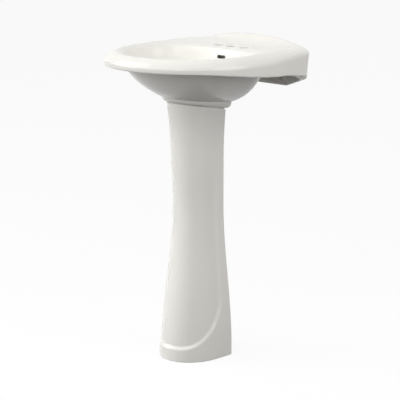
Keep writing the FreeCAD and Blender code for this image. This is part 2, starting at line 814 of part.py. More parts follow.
def plane_of(body, role):
    return next(item for item in body.Origin.OriginFeatures if item.Role == role)


def new_sketch(body, name, role, offset="0"):
    sketch = body.newObject("Sketcher::SketchObject", name)
    sketch.AttachmentSupport = (plane_of(body, role), "")
    sketch.MapMode = "FlatFace"
    sketch.setExpression("AttachmentOffset.Base.z", offset)
    return sketch


def bind(sketch, kind, spot, name, formula):
    """Constrain one point of the sketch, or a radius, to a formula."""
    index = sketch.addConstraint(Sketcher.Constraint(kind, *spot, level(formula)))
    sketch.renameConstraint(index, name)
    sketch.setExpression(f"Constraints.{name}", formula)


def turned(label, profile):
    """Body turned about the drain axis from corners given as radius and height formulas."""
    body = new_body(label)
    sketch = new_sketch(body, f"{label}_profile", "XZ_Plane")
    corners = [Vector(level(radius), level(height), 0) for radius, height in profile]
    count = len(corners)
    for i in range(count):
        sketch.addGeometry(Part.LineSegment(corners[i], corners[(i + 1) % count]), False)
    for i in range(count):
        sketch.addConstraint(Sketcher.Constraint("Coincident", i, 2, (i + 1) % count, 1))
    for i, (radius, height) in enumerate(profile):
        if radius == "0":
            sketch.addConstraint(Sketcher.Constraint("PointOnObject", i, 1, -2))
        else:
            bind(sketch, "DistanceX", (i, 1), f"radius_{i}", radius)
        bind(sketch, "DistanceY", (i, 1), f"height_{i}", height)
    turn = body.newObject("PartDesign::Revolution", f"{label}_turn")
    turn.Profile = sketch
    turn.ReferenceAxis = (sketch, ["V_Axis"])
    turn.Angle = 360
    return body


def tube_profile(inner, outer, low, high):
    return [(inner, low), (outer, low), (outer, high), (inner, high)]


def circle(sketch, name, radius, centre_y="0"):
    drawn = Part.Circle(Vector(0, level(centre_y), 0), Vector(0, 0, 1), level(radius))
    index = sketch.addGeometry(drawn, False)
    sketch.addConstraint(Sketcher.Constraint("PointOnObject", index, 3, -2))
    bind(sketch, "DistanceY", (index, 3), f"{name}_centre", centre_y)
    bind(sketch, "Radius", (index,), f"{name}_radius", radius)


def ring_pad(body, name, role, start, length, inner, outer, centre_y="0", reverse=False):
    """Pad of a flat ring from a start offset of an origin plane."""
    sketch = new_sketch(body, f"{name}_ring", role, start)
    circle(sketch, "outer", outer, centre_y)
    circle(sketch, "inner", inner, centre_y)
    pad = body.newObject("PartDesign::Pad", f"{name}_pad")
    pad.Profile = sketch
    pad.setExpression("Length", length)
    pad.Reversed = reverse
    return pad


def hex_nut(label, flats, low, height, bores, place, rotation=None):
    """Six-sided nut: bores are steps of radius, start and length along its own axis."""
    blank = doc.addObject("Part::Prism", f"{label}_blank")
    blank.Polygon = 6
    blank.setExpression("Circumradius", f"{flats} / 2 / cos(30 deg)")
    blank.setExpression("Height", height)
    blank.setExpression("Placement.Base.z", low)
    tools = [cylinder(f"{label}_bore_{i}", radius, length, ("0", "0", start))
             for i, (radius, start, length) in enumerate(bores)]
    nut = cut(label, blank, joined(f"{label}_bore", tools) if len(tools) > 1 else tools[0])
    if rotation is not None:
        nut.Placement = Placement(Vector(0, 0, 0), rotation)
    for axis, formula in zip("xyz", place):
        nut.setExpression(f"Placement.Base.{axis}", formula)
    return nut


# Waste

def make_drain_body():
    radius = cell("drain_body_radius")
    flange = cell("drain_flange_radius")
    body = turned("drain_body", [
        (LEDGE_BORE, BODY_END), (radius, BODY_END), (radius, FLANGE_UNDER), (flange, FLANGE_UNDER),
        (flange, FLOOR), (BODY_BORE, FLOOR), (BODY_BORE, LEDGE), (LEDGE_BORE, LEDGE)])
    ports = new_sketch(body, "port_outline", "XZ_Plane")
    half = "Sizes.port_width / 2"
    low = f"{PORT_MIDDLE} - Sizes.port_height / 2"
    high = f"{PORT_MIDDLE} + Sizes.port_height / 2"
    corners = [(f"-{half}", low), (half, low), (half, high), (f"-{half}", high)]
    for i in range(4):
        first, second = [Vector(level(x), level(z), 0) for x, z in (corners[i], corners[(i + 1) % 4])]
        ports.addGeometry(Part.LineSegment(first, second), False)
    for i in range(4):
        ports.addConstraint(Sketcher.Constraint("Coincident", i, 2, (i + 1) % 4, 1))
    for i, (x, z) in enumerate(corners):
        bind(ports, "DistanceX", (i, 1), f"side_{i}", x)
        bind(ports, "DistanceY", (i, 1), f"level_{i}", z)
    doc.recompute()
    before = body.Shape.Volume
    pocket = body.newObject("PartDesign::Pocket", "overflow_ports")
    pocket.Profile = ports
    pocket.Type = "ThroughAll"
    pocket.Midplane = True
    doc.recompute()
    if body.Shape.Volume >= before:
        raise RuntimeError("the overflow ports cut nothing")
    return body


def make_waste():
    over_body = "(Sizes.drain_body_radius + Sizes.thread_clearance)"
    seal_radius = "Sizes.drain_flange_radius - Sizes.drain_seal_margin"
    gasket_radius = cell("drain_gasket_radius")
    washer_radius = "Sizes.drain_gasket_radius - Sizes.drain_seal_margin"
    nut_bore = (over_body, f"{LOCKNUT_UNDER} - {OVER}", f"Sizes.locknut_height + 2 * {OVER}")
    return [
        make_drain_body(),
        turned("drain_flange_seal", tube_profile(over_body, seal_radius, RECESS, FLANGE_UNDER)),
        turned("drain_gasket", tube_profile(over_body, gasket_radius, GASKET_UNDER, BOSS_UNDER)),
        turned("drain_washer", tube_profile(over_body, washer_radius, WASHER_UNDER, GASKET_UNDER)),
        hex_nut("drain_locknut", cell("locknut_flats"), LOCKNUT_UNDER, cell("locknut_height"),
                [nut_bore], ("0", DRAIN_Y, "0")),
    ]


def make_cartridge():
    """Guide of the stem: a ring on the waste's ledge, four spokes and a sleeve."""
    ring_outer = f"({BODY_BORE} - Sizes.thread_clearance)"
    ring_inner = f"({ring_outer} - Sizes.cartridge_ring_width)"
    body = new_body("click_cartridge")
    ring_pad(body, "seat", "XY_Plane", LEDGE, cell("cartridge_ring_height"), ring_inner, ring_outer)
    doc.recompute()
    spokes = new_sketch(body, "spoke_outline", "XY_Plane", LEDGE)
    half_width = "Sizes.cartridge_spoke_width / 2"
    reach_out = f"({ring_inner} + Sizes.cartridge_ring_width / 2)"
    outline = []
    for turn in range(4):
        along, across = [(1, 0), (0, 1), (-1, 0), (0, -1)][turn], [(0, 1), (-1, 0), (0, -1), (1, 0)][turn]
        for out, side in ((reach_out, -1), (reach_out, 1), (half_width, 1)):
            outline.append(tuple(f"{along[k]} * {out} + {side * across[k]} * {half_width}" for k in range(2)))
    count = len(outline)
    for i in range(count):
        first, second = [Vector(level(x), level(y), 0) for x, y in (outline[i], outline[(i + 1) % count])]
        spokes.addGeometry(Part.LineSegment(first, second), False)
    for i in range(count):
        spokes.addConstraint(Sketcher.Constraint("Coincident", i, 2, (i + 1) % count, 1))
    for i, (x, y) in enumerate(outline):
        bind(spokes, "DistanceX", (i, 1), f"along_{i}", x)
        bind(spokes, "DistanceY", (i, 1), f"across_{i}", y)
    pad = body.newObject("PartDesign::Pad", "spokes")
    pad.Profile = spokes
    pad.setExpression("Length", cell("cartridge_ring_height"))
    doc.recompute()
    sleeve = new_sketch(body, "sleeve_ring", "XY_Plane", LEDGE)
    circle(sleeve, "sleeve", SLEEVE_RADIUS)
    sleeve_pad = body.newObject("PartDesign::Pad", "sleeve_pad")
    sleeve_pad.Profile = sleeve
    sleeve_pad.setExpression("Length", SLEEVE_HEIGHT)
    doc.recompute()
    bore = new_sketch(body, "bore_ring", "XY_Plane", LEDGE)
    circle(bore, "bore", SLEEVE_BORE)
    pocket = body.newObject("PartDesign::Pocket", "stem_bore")
    pocket.Profile = bore
    pocket.Type = "ThroughAll"
    pocket.Midplane = True
    return body


def make_spring():
    """Coil between the sleeve's top and the stem's collar, clear of both by its own wire's clearance."""
    wire = size("spring_wire_radius")
    clear = size("guide_clearance")
    low = level(SLEEVE_TOP) + wire + clear / 2
    high = level(COLLAR_UNDER) - wire - clear / 2
    radius = (level(SLEEVE_BORE) + level(SLEEVE_RADIUS)) / 2
    turns = int(size("spring_turns"))
    helix = Part.makeHelix((high - low) / turns, high - low, radius)
    helix.translate(Vector(0, 0, low))
    section = Part.Wire(Part.Circle(Vector(radius, 0, low), Vector(0, 1, 0), wire).toShape())
    coil = Part.Wire(helix.Edges).makePipeShell([section], True, True)
    spring = feature("click_spring", coil)
    spring.setExpression("Placement.Base.y", DRAIN_Y)
    return spring


def make_stopper():
    seal_outer = "(Sizes.stopper_cap_radius - Sizes.stopper_seal_inset)"
    seal_inner = f"({seal_outer} - Sizes.stopper_seal_width)"
    radius = cell("stopper_cap_radius")
    dome = [(f"{across} * {radius}", f"{CAP_UNDER} + {up} * Sizes.stopper_cap_height")
            for across, up in CAP_PROFILE]
    top = f"({CAP_UNDER} + Sizes.stopper_cap_height)"
    cap = turned("stopper_cap", [("0", CAP_UNDER), (radius, CAP_UNDER)] + dome + [("0", top)])
    seal = turned("stopper_seal", tube_profile(seal_inner, seal_outer, SEAL_UNDER, CAP_UNDER))
    collar = cell("stem_collar_radius")
    stem_radius = cell("stem_radius")
    collar_top = f"({COLLAR_UNDER} + Sizes.stem_collar_thickness)"
    stem = turned("stopper_stem", [
        ("0", f"{CAP_UNDER} - Sizes.stem_length"), (stem_radius, f"{CAP_UNDER} - Sizes.stem_length"),
        (stem_radius, COLLAR_UNDER), (collar, COLLAR_UNDER), (collar, collar_top), (stem_radius, collar_top),
        (stem_radius, CAP_UNDER), ("0", CAP_UNDER)])
    return [cap, seal, stem, make_cartridge(), make_spring()]


# Tailpiece and trap

def make_tailpiece():
    bore = "(Sizes.tail_radius - Sizes.tail_wall)"
    radius = cell("tail_radius")
    tail = turned("tailpiece", [
        (bore, TAIL_END), (radius, TAIL_END), (radius, TAIL_FLANGE_UNDER), (TAIL_FLANGE, TAIL_FLANGE_UNDER),
        (TAIL_FLANGE, TAIL_TOP), (bore, TAIL_TOP)])
    seal = turned("tailpiece_seal", tube_profile(radius, TAIL_FLANGE, TAIL_TOP, BODY_END))
    nut_low = f"({TAIL_FLANGE_UNDER} - Sizes.slip_nut_lip)"
    over_body = f"({cell('drain_body_radius')} + Sizes.thread_clearance)"
    grip = cell("slip_thread_length")
    nut = hex_nut("tailpiece_nut", f"(2 * ({over_body} + Sizes.slip_nut_wall))", nut_low,
                  f"{BODY_END} - {nut_low} + {grip}",
                  [(f"{radius} + Sizes.slip_clearance", f"{nut_low} - {OVER}",
                    f"Sizes.slip_nut_lip + 2 * {OVER}"),
                   (over_body, TAIL_FLANGE_UNDER, f"{BODY_END} - {TAIL_FLANGE_UNDER} + {grip} + {OVER}")],
                  ("0", DRAIN_Y, "0"))
    return [tail, seal, nut]


def pipe(body, name, route, circles_at, radii):
    """Tube swept along lines and arcs in the body's own side plane."""
    spine = new_sketch(body, f"{name}_route", "YZ_Plane")
    for piece in route(spine):
        spine.addConstraint(piece)
    profile = new_sketch(body, f"{name}_section", "XY_Plane", circles_at[1])
    circle(profile, "outer", radii[1], circles_at[0])
    circle(profile, "inner", radii[0], circles_at[0])
    doc.recompute()
    sweep = body.newObject("PartDesign::AdditivePipe", f"{name}_sweep")
    sweep.Profile = profile
    sweep.Spine = (spine, [f"Edge{i + 1}" for i in range(spine.GeometryCount)])
    return sweep


def fix_point(sketch, spot, name, y, z):
    bind(sketch, "DistanceX", spot, f"{name}_y", y)
    bind(sketch, "DistanceY", spot, f"{name}_z", z)


def j_route(spine):
    """Down from the inlet, round the bottom and up to the outlet."""
    bend = Vector(0, level(BEND_LEVEL), 0)
    radius = size("trap_bend_radius")
    inlet = Vector(0, level(TRAP_TOP), 0)
    far = bend + Vector(2 * radius, 0, 0)
    outlet = Vector(far.x, level(OUTLET_TOP), 0)
    spine.addGeometry(Part.LineSegment(inlet, bend), False)
    spine.addGeometry(Part.Arc(bend, bend + Vector(radius, -radius, 0), far), False)
    spine.addGeometry(Part.LineSegment(far, outlet), False)
    fix_point(spine, (0, 1), "inlet", "0", TRAP_TOP)
    fix_point(spine, (0, 2), "bend", "0", BEND_LEVEL)
    fix_point(spine, (2, 1), "far", OUTLET_Y, BEND_LEVEL)
    fix_point(spine, (2, 2), "outlet", OUTLET_Y, OUTLET_TOP)
    bind(spine, "DistanceY", (1, 3), "centre_z", BEND_LEVEL)
    return [Sketcher.Constraint("Coincident", 1, 1, 0, 2), Sketcher.Constraint("Coincident", 1, 2, 2, 1)]


def elbow_route(spine):
    """Up from the union, then round to the wall."""
    start = Vector(level(OUTLET_Y), level(ELBOW_START), 0)
    bend = Vector(start.x, level(ELBOW_BEND), 0)
    radius = size("elbow_bend_radius")
    middle = bend + Vector(radius * (1 - math.cos(math.pi / 4)), radius * math.sin(math.pi / 4), 0)
    top = bend + Vector(radius, radius, 0)
    spine.addGeometry(Part.LineSegment(start, bend), False)
    spine.addGeometry(Part.Arc(top, middle, bend), False)
    spine.addGeometry(Part.LineSegment(top, Vector(level(ELBOW_END), top.y, 0)), False)
    fix_point(spine, (0, 1), "start", OUTLET_Y, ELBOW_START)
    fix_point(spine, (0, 2), "bend", OUTLET_Y, ELBOW_BEND)
    fix_point(spine, (2, 1), "top", f"{OUTLET_Y} + Sizes.elbow_bend_radius", ELBOW_LEVEL)
    fix_point(spine, (2, 2), "end", ELBOW_END, ELBOW_LEVEL)
    bind(spine, "DistanceY", (1, 3), "centre_z", ELBOW_BEND)
    return [Sketcher.Constraint("Coincident", 1, 1, 2, 1), Sketcher.Constraint("Coincident", 1, 2, 0, 2)]


def make_trap():
    thread = cell("slip_thread_length")
    washer = cell("slip_washer_thickness")
    lip = cell("slip_nut_lip")
    flats = f"(2 * {NUT_RADIUS})"
    nut_height = f"({lip} + {washer} + {thread})"

    bend = new_body("trap_j_bend")
    pipe(bend, "bend", j_route, ("0", TRAP_TOP), (TRAP_BORE, TRAP_RADIUS))
    doc.recompute()
    inside = f"({TRAP_BORE} + Sizes.trap_wall / 2)"
    ring_pad(bend, "inlet_thread", "XY_Plane", TRAP_TOP, thread, inside, THREAD_RADIUS, reverse=True)
    doc.recompute()
    ring_pad(bend, "outlet_thread", "XY_Plane", OUTLET_TOP, thread, inside, THREAD_RADIUS, OUTLET_Y,
             reverse=True)

    over_tail = "(Sizes.tail_radius + Sizes.thread_clearance)"
    inlet_washer = turned("trap_inlet_washer", tube_profile(
        over_tail, THREAD_RADIUS, TRAP_TOP, f"{TRAP_TOP} + {washer}"))
    inlet_low = f"({TRAP_TOP} - {thread})"
    inlet_nut = hex_nut("trap_inlet_nut", flats, inlet_low, nut_height,
                        [(NUT_BORE, f"{inlet_low} - {OVER}", f"{thread} + {washer} + {OVER}"),
                         (TRAP_BORE, inlet_low, f"{nut_height} + {OVER}")], ("0", DRAIN_Y, "0"))

    elbow = new_body("trap_elbow")
    pipe(elbow, "elbow", elbow_route, (OUTLET_Y, ELBOW_START), (TRAP_BORE, TRAP_RADIUS))
    doc.recompute()
    ring_pad(elbow, "union_flange", "XY_Plane", ELBOW_START, cell("elbow_flange_thickness"), inside,
             THREAD_RADIUS, OUTLET_Y)
    doc.recompute()
    ring_pad(elbow, "outlet_thread_end", "XZ_Plane", f"-({ELBOW_END})", OUTLET_THREAD, inside,
             THREAD_RADIUS, ELBOW_LEVEL)

    outlet_axis = f"({DRAIN_Y} + {OUTLET_Y})"
    union_washer = new_body("trap_union_washer")
    ring_pad(union_washer, "union_washer", "XY_Plane", OUTLET_TOP, cell("union_washer_thickness"), TRAP_BORE,
             THREAD_RADIUS, OUTLET_Y)
    union_low = f"({OUTLET_TOP} - {thread})"
    union_fill = f"({thread} + Sizes.union_washer_thickness + Sizes.elbow_flange_thickness)"
    over_tube = f"({TRAP_RADIUS} + Sizes.slip_clearance)"
    union_nut = hex_nut("trap_union_nut", flats, union_low, f"({union_fill} + {lip})",
                        [(NUT_BORE, f"{union_low} - {OVER}", f"{union_fill} + {OVER}"),
                         (over_tube, union_low, f"{union_fill} + {lip} + {OVER}")], ("0", outlet_axis, "0"))

    outlet_washer = new_body("trap_outlet_washer")
    ring_pad(outlet_washer, "outlet_washer", "XZ_Plane", f"-({ELBOW_END})", washer, TRAP_BORE,
             THREAD_RADIUS, ELBOW_LEVEL, reverse=True)
    outlet_nut = hex_nut("trap_outlet_nut", flats, f"-{OUTLET_THREAD}",
                         f"({OUTLET_THREAD} + {washer} + {lip})",
                         [(NUT_BORE, f"-{OUTLET_THREAD} - {OVER}", f"{OUTLET_THREAD} + {washer} + {OVER}"),
                          (TRAP_BORE, f"-{OUTLET_THREAD}", f"{OUTLET_THREAD} + {washer} + {lip} + {OVER}")],
                         ("0", f"{DRAIN_Y} + {ELBOW_END}", ELBOW_LEVEL), ALONG_Y)
    return [bend, inlet_washer, inlet_nut, elbow, union_washer, union_nut, outlet_washer, outlet_nut]


def check(items):
    for item in doc.Objects:
        if "Invalid" in item.State or "Error" in item.State:
            raise RuntimeError(f"{item.Label} failed: {item.State}")
    for item in items:
        if item.Shape.isNull() or not item.Shape.isValid():
            raise RuntimeError(f"{item.Label} has no valid shape")
        if len(item.Shape.Solids) != 1 or item.Shape.Volume <= 0:
            raise RuntimeError(f"{item.Label} is not one solid")


def main():
    items = [make_basin(), make_pedestal(), make_gasket()]
    items += make_waste()
    items += make_stopper()
    items += make_tailpiece()
    items += make_trap()
    doc.recompute()
    check(items)
    os.makedirs("parts", exist_ok=True)
    for item in items:
        item.Shape.exportStep(f"parts/{item.Label}.step")
        print(f"{item.Label:20s} solids {len(item.Shape.Solids)} volume {item.Shape.Volume:11.1f}")


main()
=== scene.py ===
import math

import bpy
import numpy as np
from mathutils import Matrix, Vector


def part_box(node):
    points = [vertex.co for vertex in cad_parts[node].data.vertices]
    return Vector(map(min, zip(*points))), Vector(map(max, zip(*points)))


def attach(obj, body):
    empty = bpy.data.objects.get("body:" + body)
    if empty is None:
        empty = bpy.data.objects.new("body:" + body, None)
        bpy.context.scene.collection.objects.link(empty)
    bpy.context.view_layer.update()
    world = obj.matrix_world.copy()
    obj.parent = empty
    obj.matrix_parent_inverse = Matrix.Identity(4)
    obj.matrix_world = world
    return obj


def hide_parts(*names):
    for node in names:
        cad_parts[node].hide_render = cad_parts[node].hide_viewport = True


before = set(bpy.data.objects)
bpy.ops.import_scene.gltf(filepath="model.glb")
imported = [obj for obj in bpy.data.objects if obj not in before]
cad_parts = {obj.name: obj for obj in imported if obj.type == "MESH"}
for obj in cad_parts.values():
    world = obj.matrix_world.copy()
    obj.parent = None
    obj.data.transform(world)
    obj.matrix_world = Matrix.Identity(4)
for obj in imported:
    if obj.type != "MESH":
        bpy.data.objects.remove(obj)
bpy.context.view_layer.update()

# Pedestal sink in glazed china, in metres. The basin and the pedestal are drawn again here from rings like
# those of the solids, with the soft edges that the glaze leaves, a lower rim line, a longer sweep of the
# apron to the wall flange and a wider overflow passage. The waste and the trap are the solids.

# Places and overall sizes, from the frame
BASIN_LOW, BASIN_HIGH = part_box("basin")
DRAIN_LOW, DRAIN_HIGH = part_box("drain_body")
DRAIN_Y = (DRAIN_LOW.y + DRAIN_HIGH.y) / 2
BOWL_FLOOR = DRAIN_HIGH.z
WALL_Y = BASIN_HIGH.y - DRAIN_Y
RIM_FRONT = DRAIN_Y - BASIN_LOW.y
RIM_HALF = BASIN_HIGH.x

# Basin plan, measured from the drain axis
RIM_BACK_HALF = 0.220
BOWL_HALF = 0.190
BOWL_FRONT = 0.178
BOWL_BACK = 0.120
BOSS_RADIUS = 0.036
BOSS_DEPTH = 0.048
CORNER_SHARPNESS = 30
RIM_CORNER_SHARPNESS = 24
FRONT_POWER = 2.08
SIDE_POWER = 2.2
BOWL_BACK_POWER = 2.6
OUTSIDE_BACK_POWER = 5

# Basin heights above the bowl's floor; a pair is at the front and at the back
APRON = (0.074, 0.052)
EDGE = (0.086, 0.102)
CROWN = (0.111, 0.121)
DECK = 0.112
ARCH = 0.140
ROOF = 0.099

# Course of the heights: start and end as shares of the rim's front reach and of the way to the wall
RISE_START = -0.76
EDGE_RISE_START = 0.09
APRON_RISE_END = 0.5
ARCH_POWER = 2.33

# Basin sections
CROWN_INSET = 0.028
LIP_DROP = 0.0096
LIP_BACK_WIDTH = 0.032
LIP_BACK_DROP = 0.008
LIP_BACK_POWER = 1.5
LIP_SPAN = 0.6
DECK_SWEEP = 0.062
APRON_THICKNESS = 0.014
APRON_DRAFT = 0.007
APRON_FOOT_POWER = 3.4
BOWL_WALL = 0.010
BOWL_BACK_WALL = 0.020
FLANGE_DROP = 0.046
FLANGE_END_DROP = 0.018
FLANGE_SLOPE = 0.082
FLANGE_SIDE_REACH = 0.125
FLANGE_END_ROUND = 0.0075
TROUGH_ROUND = 0.009
ROOT_ROUND = 0.006
RIM_POWERS = (1.5, 2.1)
BOWL_POWERS = (0.30, 0.38, 0.24)
OUTSIDE_FILL = 0.78
OUTSIDE_BACK_FILL = 0.154

# Rings of the basin, as shares of each stretch; on the rim, the way out and the climb of the arch behind
BOWL_SHARES = (0, 0.012, 0.04, 0.09, 0.17, 0.28, 0.42, 0.6, 0.8, 1)
LIP_SHARES = (0.25, 0.6, 1)
RIM_SHARES = ((0, 0.04), (0.35, 0.2), (0.65, 0.6), (0.85, 1.0), (0.95, 0.97), (1, 0.8))
OUTSIDE_SHARES = (1, 0.8, 0.6, 0.42, 0.27, 0.14, 0.05, 0)

# Seam with the pedestal, and the collar above it
SEAM = 0.7137
SEAM_SLOPE = 0.164
COLLAR_LIFT = 0.003
COLLAR_HALF = 0.081
COLLAR_FRONT = 0.0745
COLLAR_BACK = 0.103
COLLAR_THICKNESS = 0.0142
COLLAR_SLOPE = 0.103
COLLAR_ROUND = 0.0095
COLLAR_BACK_ROUND = 0.015

# Openings of the basin
FAUCET_HOLE_RADIUS = 0.016
FAUCET_HOLE_SPACING = 0.0508
FAUCET_HOLE_WALL_GAP = 0.0935
HOLE_ROUND = 0.0018
HOLE_CUT_DEPTH = 0.040
HOLE_CUT_ABOVE = 0.010
OVERFLOW_DROP = 0.027
OVERFLOW_WIDTH = 0.034
OVERFLOW_TALL = 0.010
CHANNEL_DEPTH = 0.0075
CHANNEL_WIDTH = 0.052
CHANNEL_RISE = 0.033
DRAIN_HOLE_RADIUS = 0.023
DRAIN_BODY_RADIUS = 0.021
PORT_DROP = 0.021
PORT_TALL = 0.010
RECESS_RADIUS = 0.033
RECESS_DEPTH = 0.005
BOLT_SPACING = 0.236
BOLT_RADIUS = 0.006
BOLT_RISE = 0.029
BOLT_CUT_DEPTH = 3 * APRON_THICKNESS
LUG_RADIUS = 0.015
LUG_DEPTH = 0.018

# Pedestal; foot, waist and neck are half width, front reach and back reach from its own axis
PEDESTAL_SETBACK = 0.012
PEDESTAL_Y = DRAIN_Y + PEDESTAL_SETBACK
FOOT = (0.0885, 0.102, 0.0695)
WAIST = (0.062, 0.064, 0.060)
NECK = (0.074, 0.074, 0.056)
FOOT_FLARE = (0.029, 0.439)
NECK_FLARE = 0.1387
NECK_POWER = 1.8
PEDESTAL_TAPER = 0.97
PEDESTAL_WALL = 0.011
PANEL_RECESS = 0.005
PANEL_LOW = 0.0398
PANEL_FRONT = -0.0935
PANEL_BACK = 0.0295
PANEL_CORNER = 0.170
PANEL_POWER = 1.6
PANEL_FADE = (0.450, 0.600)
LEDGE_WIDTH = 0.012
EDGE_ROUND = 0.0025
BACK_RETURN = 0.018
FOOT_LUG = (0.040, 0.030, 0.014)
SCREW_SPACING = 0.112
SCREW_RADIUS = 0.004

# Fineness of the meshes
BASIN_STEP = 1.5
BASIN_CORNER_STEP = 0.4
BASIN_CORNER_SPAN = 10
PEDESTAL_COLUMNS = 220
FINE_LEVELS = 104
PLAIN_LEVELS = 62
ROWS_PER_SPAN = 4
APRON_ROWS = 5
UNDERSIDE_ROWS = 4
HOLE_SIDES = 64
BOLT_SIDES = 40
LUG_SIDES = 48
SLOT_STEP = 7.5
FOOT_LUG_STEP = 5

# Angles past which an edge is drawn sharp, in degrees
CHINA_SHARP_ANGLE = 38
FITTING_SHARP_ANGLE = 35

# Points on the rounds, in degrees
ROUND_ANGLES = (0, 30, 60, 90)
APRON_FOOT_ANGLES = (0, 15, 30, 45, 60, 90, 120, 150, 180)
HOLE_MOUTH_ANGLES = (0, 20, 40, 60, 72)

# Columns of the pedestal's wall: first samples, and how much closer and how near to corners and ledge
PATH_SAMPLES = 1400
PATH_CORNER_WEIGHT = 3
PATH_LEDGE_WEIGHT = 1.5
PATH_NEAR = 0.008

# Least values that keep a division and a power in range
LEAST_SINE = 1e-6
LEAST_SHARE = 1e-4

# Turn of a lathe's axis from upward to toward the wall
TOWARD_WALL = Matrix.Rotation(math.radians(-90), 4, "X")


def smooth(value):
    share = np.clip(value, 0, 1)
    return share * share * (3 - 2 * share)


def mixed(pair, share):
    return pair[0] + (pair[1] - pair[0]) * share


# Rings: closed plan curves, a reach for each angle

def superellipse(angles, across, along, power):
    total = np.abs(np.cos(angles) / across) ** power + np.abs(np.sin(angles) / along) ** power
    return total ** (-1 / power)


def reach(angles, half, front, back, back_power, back_half=None):
    """Distance from the axis to the plan's edge: oval in front, and oval or square-backed behind."""
    ahead = superellipse(angles, half, front, FRONT_POWER)
    if back_half is None:
        behind = superellipse(angles, half, back, back_power)
    else:
        taper = (back_half / half) ** SIDE_POWER
        side = superellipse(angles, half, back / (1 - taper) ** (1 / SIDE_POWER), SIDE_POWER)
        flat = back / np.maximum(np.sin(angles), LEAST_SINE)
        behind = (side ** -back_power + flat ** -back_power) ** (-1 / back_power)
    return np.where(np.sin(angles) > 0, behind, ahead)


def plan_points(angles, *plan):
    away = reach(angles, *plan)
    return away * np.cos(angles), away * np.sin(angles)


def smooth_rows(rows, per_span):
    """Rows on the smooth surface through the given rows, a natural cubic curve along each column."""
    rows = np.array(rows)
    count = len(rows)
    steps = np.sqrt(np.linalg.norm(np.diff(rows, axis=0), axis=2).mean(axis=1))
    matrix = np.zeros((count, count))
    right = np.zeros_like(rows)
    matrix[0, 0] = matrix[-1, -1] = 1
    for i in range(1, count - 1):
        matrix[i, i - 1: i + 2] = steps[i - 1], 2 * (steps[i - 1] + steps[i]), steps[i]
        right[i] = 6 * ((rows[i + 1] - rows[i]) / steps[i] - (rows[i] - rows[i - 1]) / steps[i - 1])
    bend = np.linalg.solve(matrix, right.reshape(count, -1)).reshape(rows.shape)
    made = []
    for i in range(count - 1):
        for share in np.arange(per_span) / per_span:
            left = 1 - share
            sag = (left ** 3 - left) * bend[i] + (share ** 3 - share) * bend[i + 1]
            made.append(left * rows[i] + share * rows[i + 1] + sag * steps[i] ** 2 / 6)
    made.append(rows[-1])
    return made


def straight_rows(first, last, count):
    """Rows between two others, both left out."""
    return [first + (last - first) * i / (count + 1) for i in range(1, count + 1)]


# Meshes

def mesh_object(name, points, faces):
    mesh = bpy.data.meshes.new(name)
    mesh.from_pydata([tuple(p) for p in points], [], faces)
    mesh.update()
    made = bpy.data.objects.new(name, mesh)
    bpy.context.scene.collection.objects.link(made)
    return made


def grid_faces(rows, columns, wrap_rows=False):
    """Quads of a grid that closes on itself along its columns, and along its rows if asked."""
    faces = []
    for i in range(rows if wrap_rows else rows - 1):
        below = i * columns
        above = (i + 1) % rows * columns
        for j in range(columns):
            k = (j + 1) % columns
            faces.append((below + j, below + k, above + k, above + j))
    return faces


def prism_faces(count):
    """Faces of a prism between two like outlines: its sides and its two ends."""
    return grid_faces(2, count) + [tuple(range(count)), tuple(range(count, 2 * count))]


def joined_shells(name, shells):
    """One object from closed shells, each a list of points and a list of faces."""
    points = []
    faces = []
    for shell_points, shell_faces in shells:
        start = len(points)
        points += [tuple(p) for p in shell_points]
        faces += [tuple(start + corner for corner in face) for face in shell_faces]
    return mesh_object(name, points, faces)


def lathe(profile, sides, place, turn=None):
    """Closed shell round an axis: a profile of radius and height, with flat ends."""
    turns = np.arange(sides) * 2 * math.pi / sides
    rows = [np.stack([r * np.cos(turns), r * np.sin(turns), np.full(sides, h)], axis=1) for r, h in profile]
    points = np.concatenate(rows)
    if turn is not None:
        points = points @ np.array(turn.to_3x3()).T
    faces = grid_faces(len(rows), sides)
    last = (len(rows) - 1) * sides
    faces.append(tuple(reversed(range(sides))))
    faces.append(tuple(range(last, last + sides)))
    return points + np.array(place), faces


def outward(made):
    """Turns the faces of a closed mesh outward."""
    bpy.context.view_layer.objects.active = made
    made.select_set(True)
    bpy.ops.object.mode_set(mode="EDIT")
    bpy.ops.mesh.select_all(action="SELECT")
    bpy.ops.mesh.normals_make_consistent(inside=False)
    bpy.ops.object.mode_set(mode="OBJECT")
    made.select_set(False)


def combine(made, other, operation, finish="china"):
    """Boolean of two closed meshes; the second one is used up and leaves its finish where it cuts."""
    outward(other)
    other.data.materials.append(MATERIALS[finish])
    modifier = made.modifiers.new(operation.lower(), "BOOLEAN")
    modifier.operation = operation
    modifier.solver = "EXACT"
    modifier.material_mode = "TRANSFER"
    modifier.object = other
    evaluated = made.evaluated_get(bpy.context.evaluated_depsgraph_get())
    result = bpy.data.meshes.new_from_object(evaluated)
    made.modifiers.clear()
    made.data = result
    bpy.data.objects.remove(other)


def shade(made, degrees):
    made.data.shade_smooth()
    made.data.set_sharp_from_angle(angle=math.radians(degrees))


# Basin

def basin_angles():
    corner = math.degrees(math.atan2(WALL_Y, RIM_BACK_HALF))
    plain = np.arange(-90, 270, BASIN_STEP)
    for middle in (corner, 180 - corner):
        near = np.arange(-BASIN_CORNER_SPAN, BASIN_CORNER_SPAN, BASIN_CORNER_STEP) + middle
        plain = plain[(plain < near[0] - BASIN_CORNER_STEP) | (plain > near[-1] + BASIN_CORNER_STEP)]
        plain = np.sort(np.concatenate([plain, near]))
    return np.radians(plain)


ANGLES = basin_angles()


def rise(y, start=RISE_START, end=1.0):
    """0 in front to 1 behind; start and end are shares of the way to the rim's front and to the wall."""
    first = start * RIM_FRONT
    return smooth((y - first) / (end * WALL_Y - first))


def back_share(x, y, half):
    """1 at the middle of the back, 0 at its ends and everywhere in front."""
    return np.where(y > 0, np.maximum(0, 1 - np.abs(x / half) ** ARCH_POWER), 0)


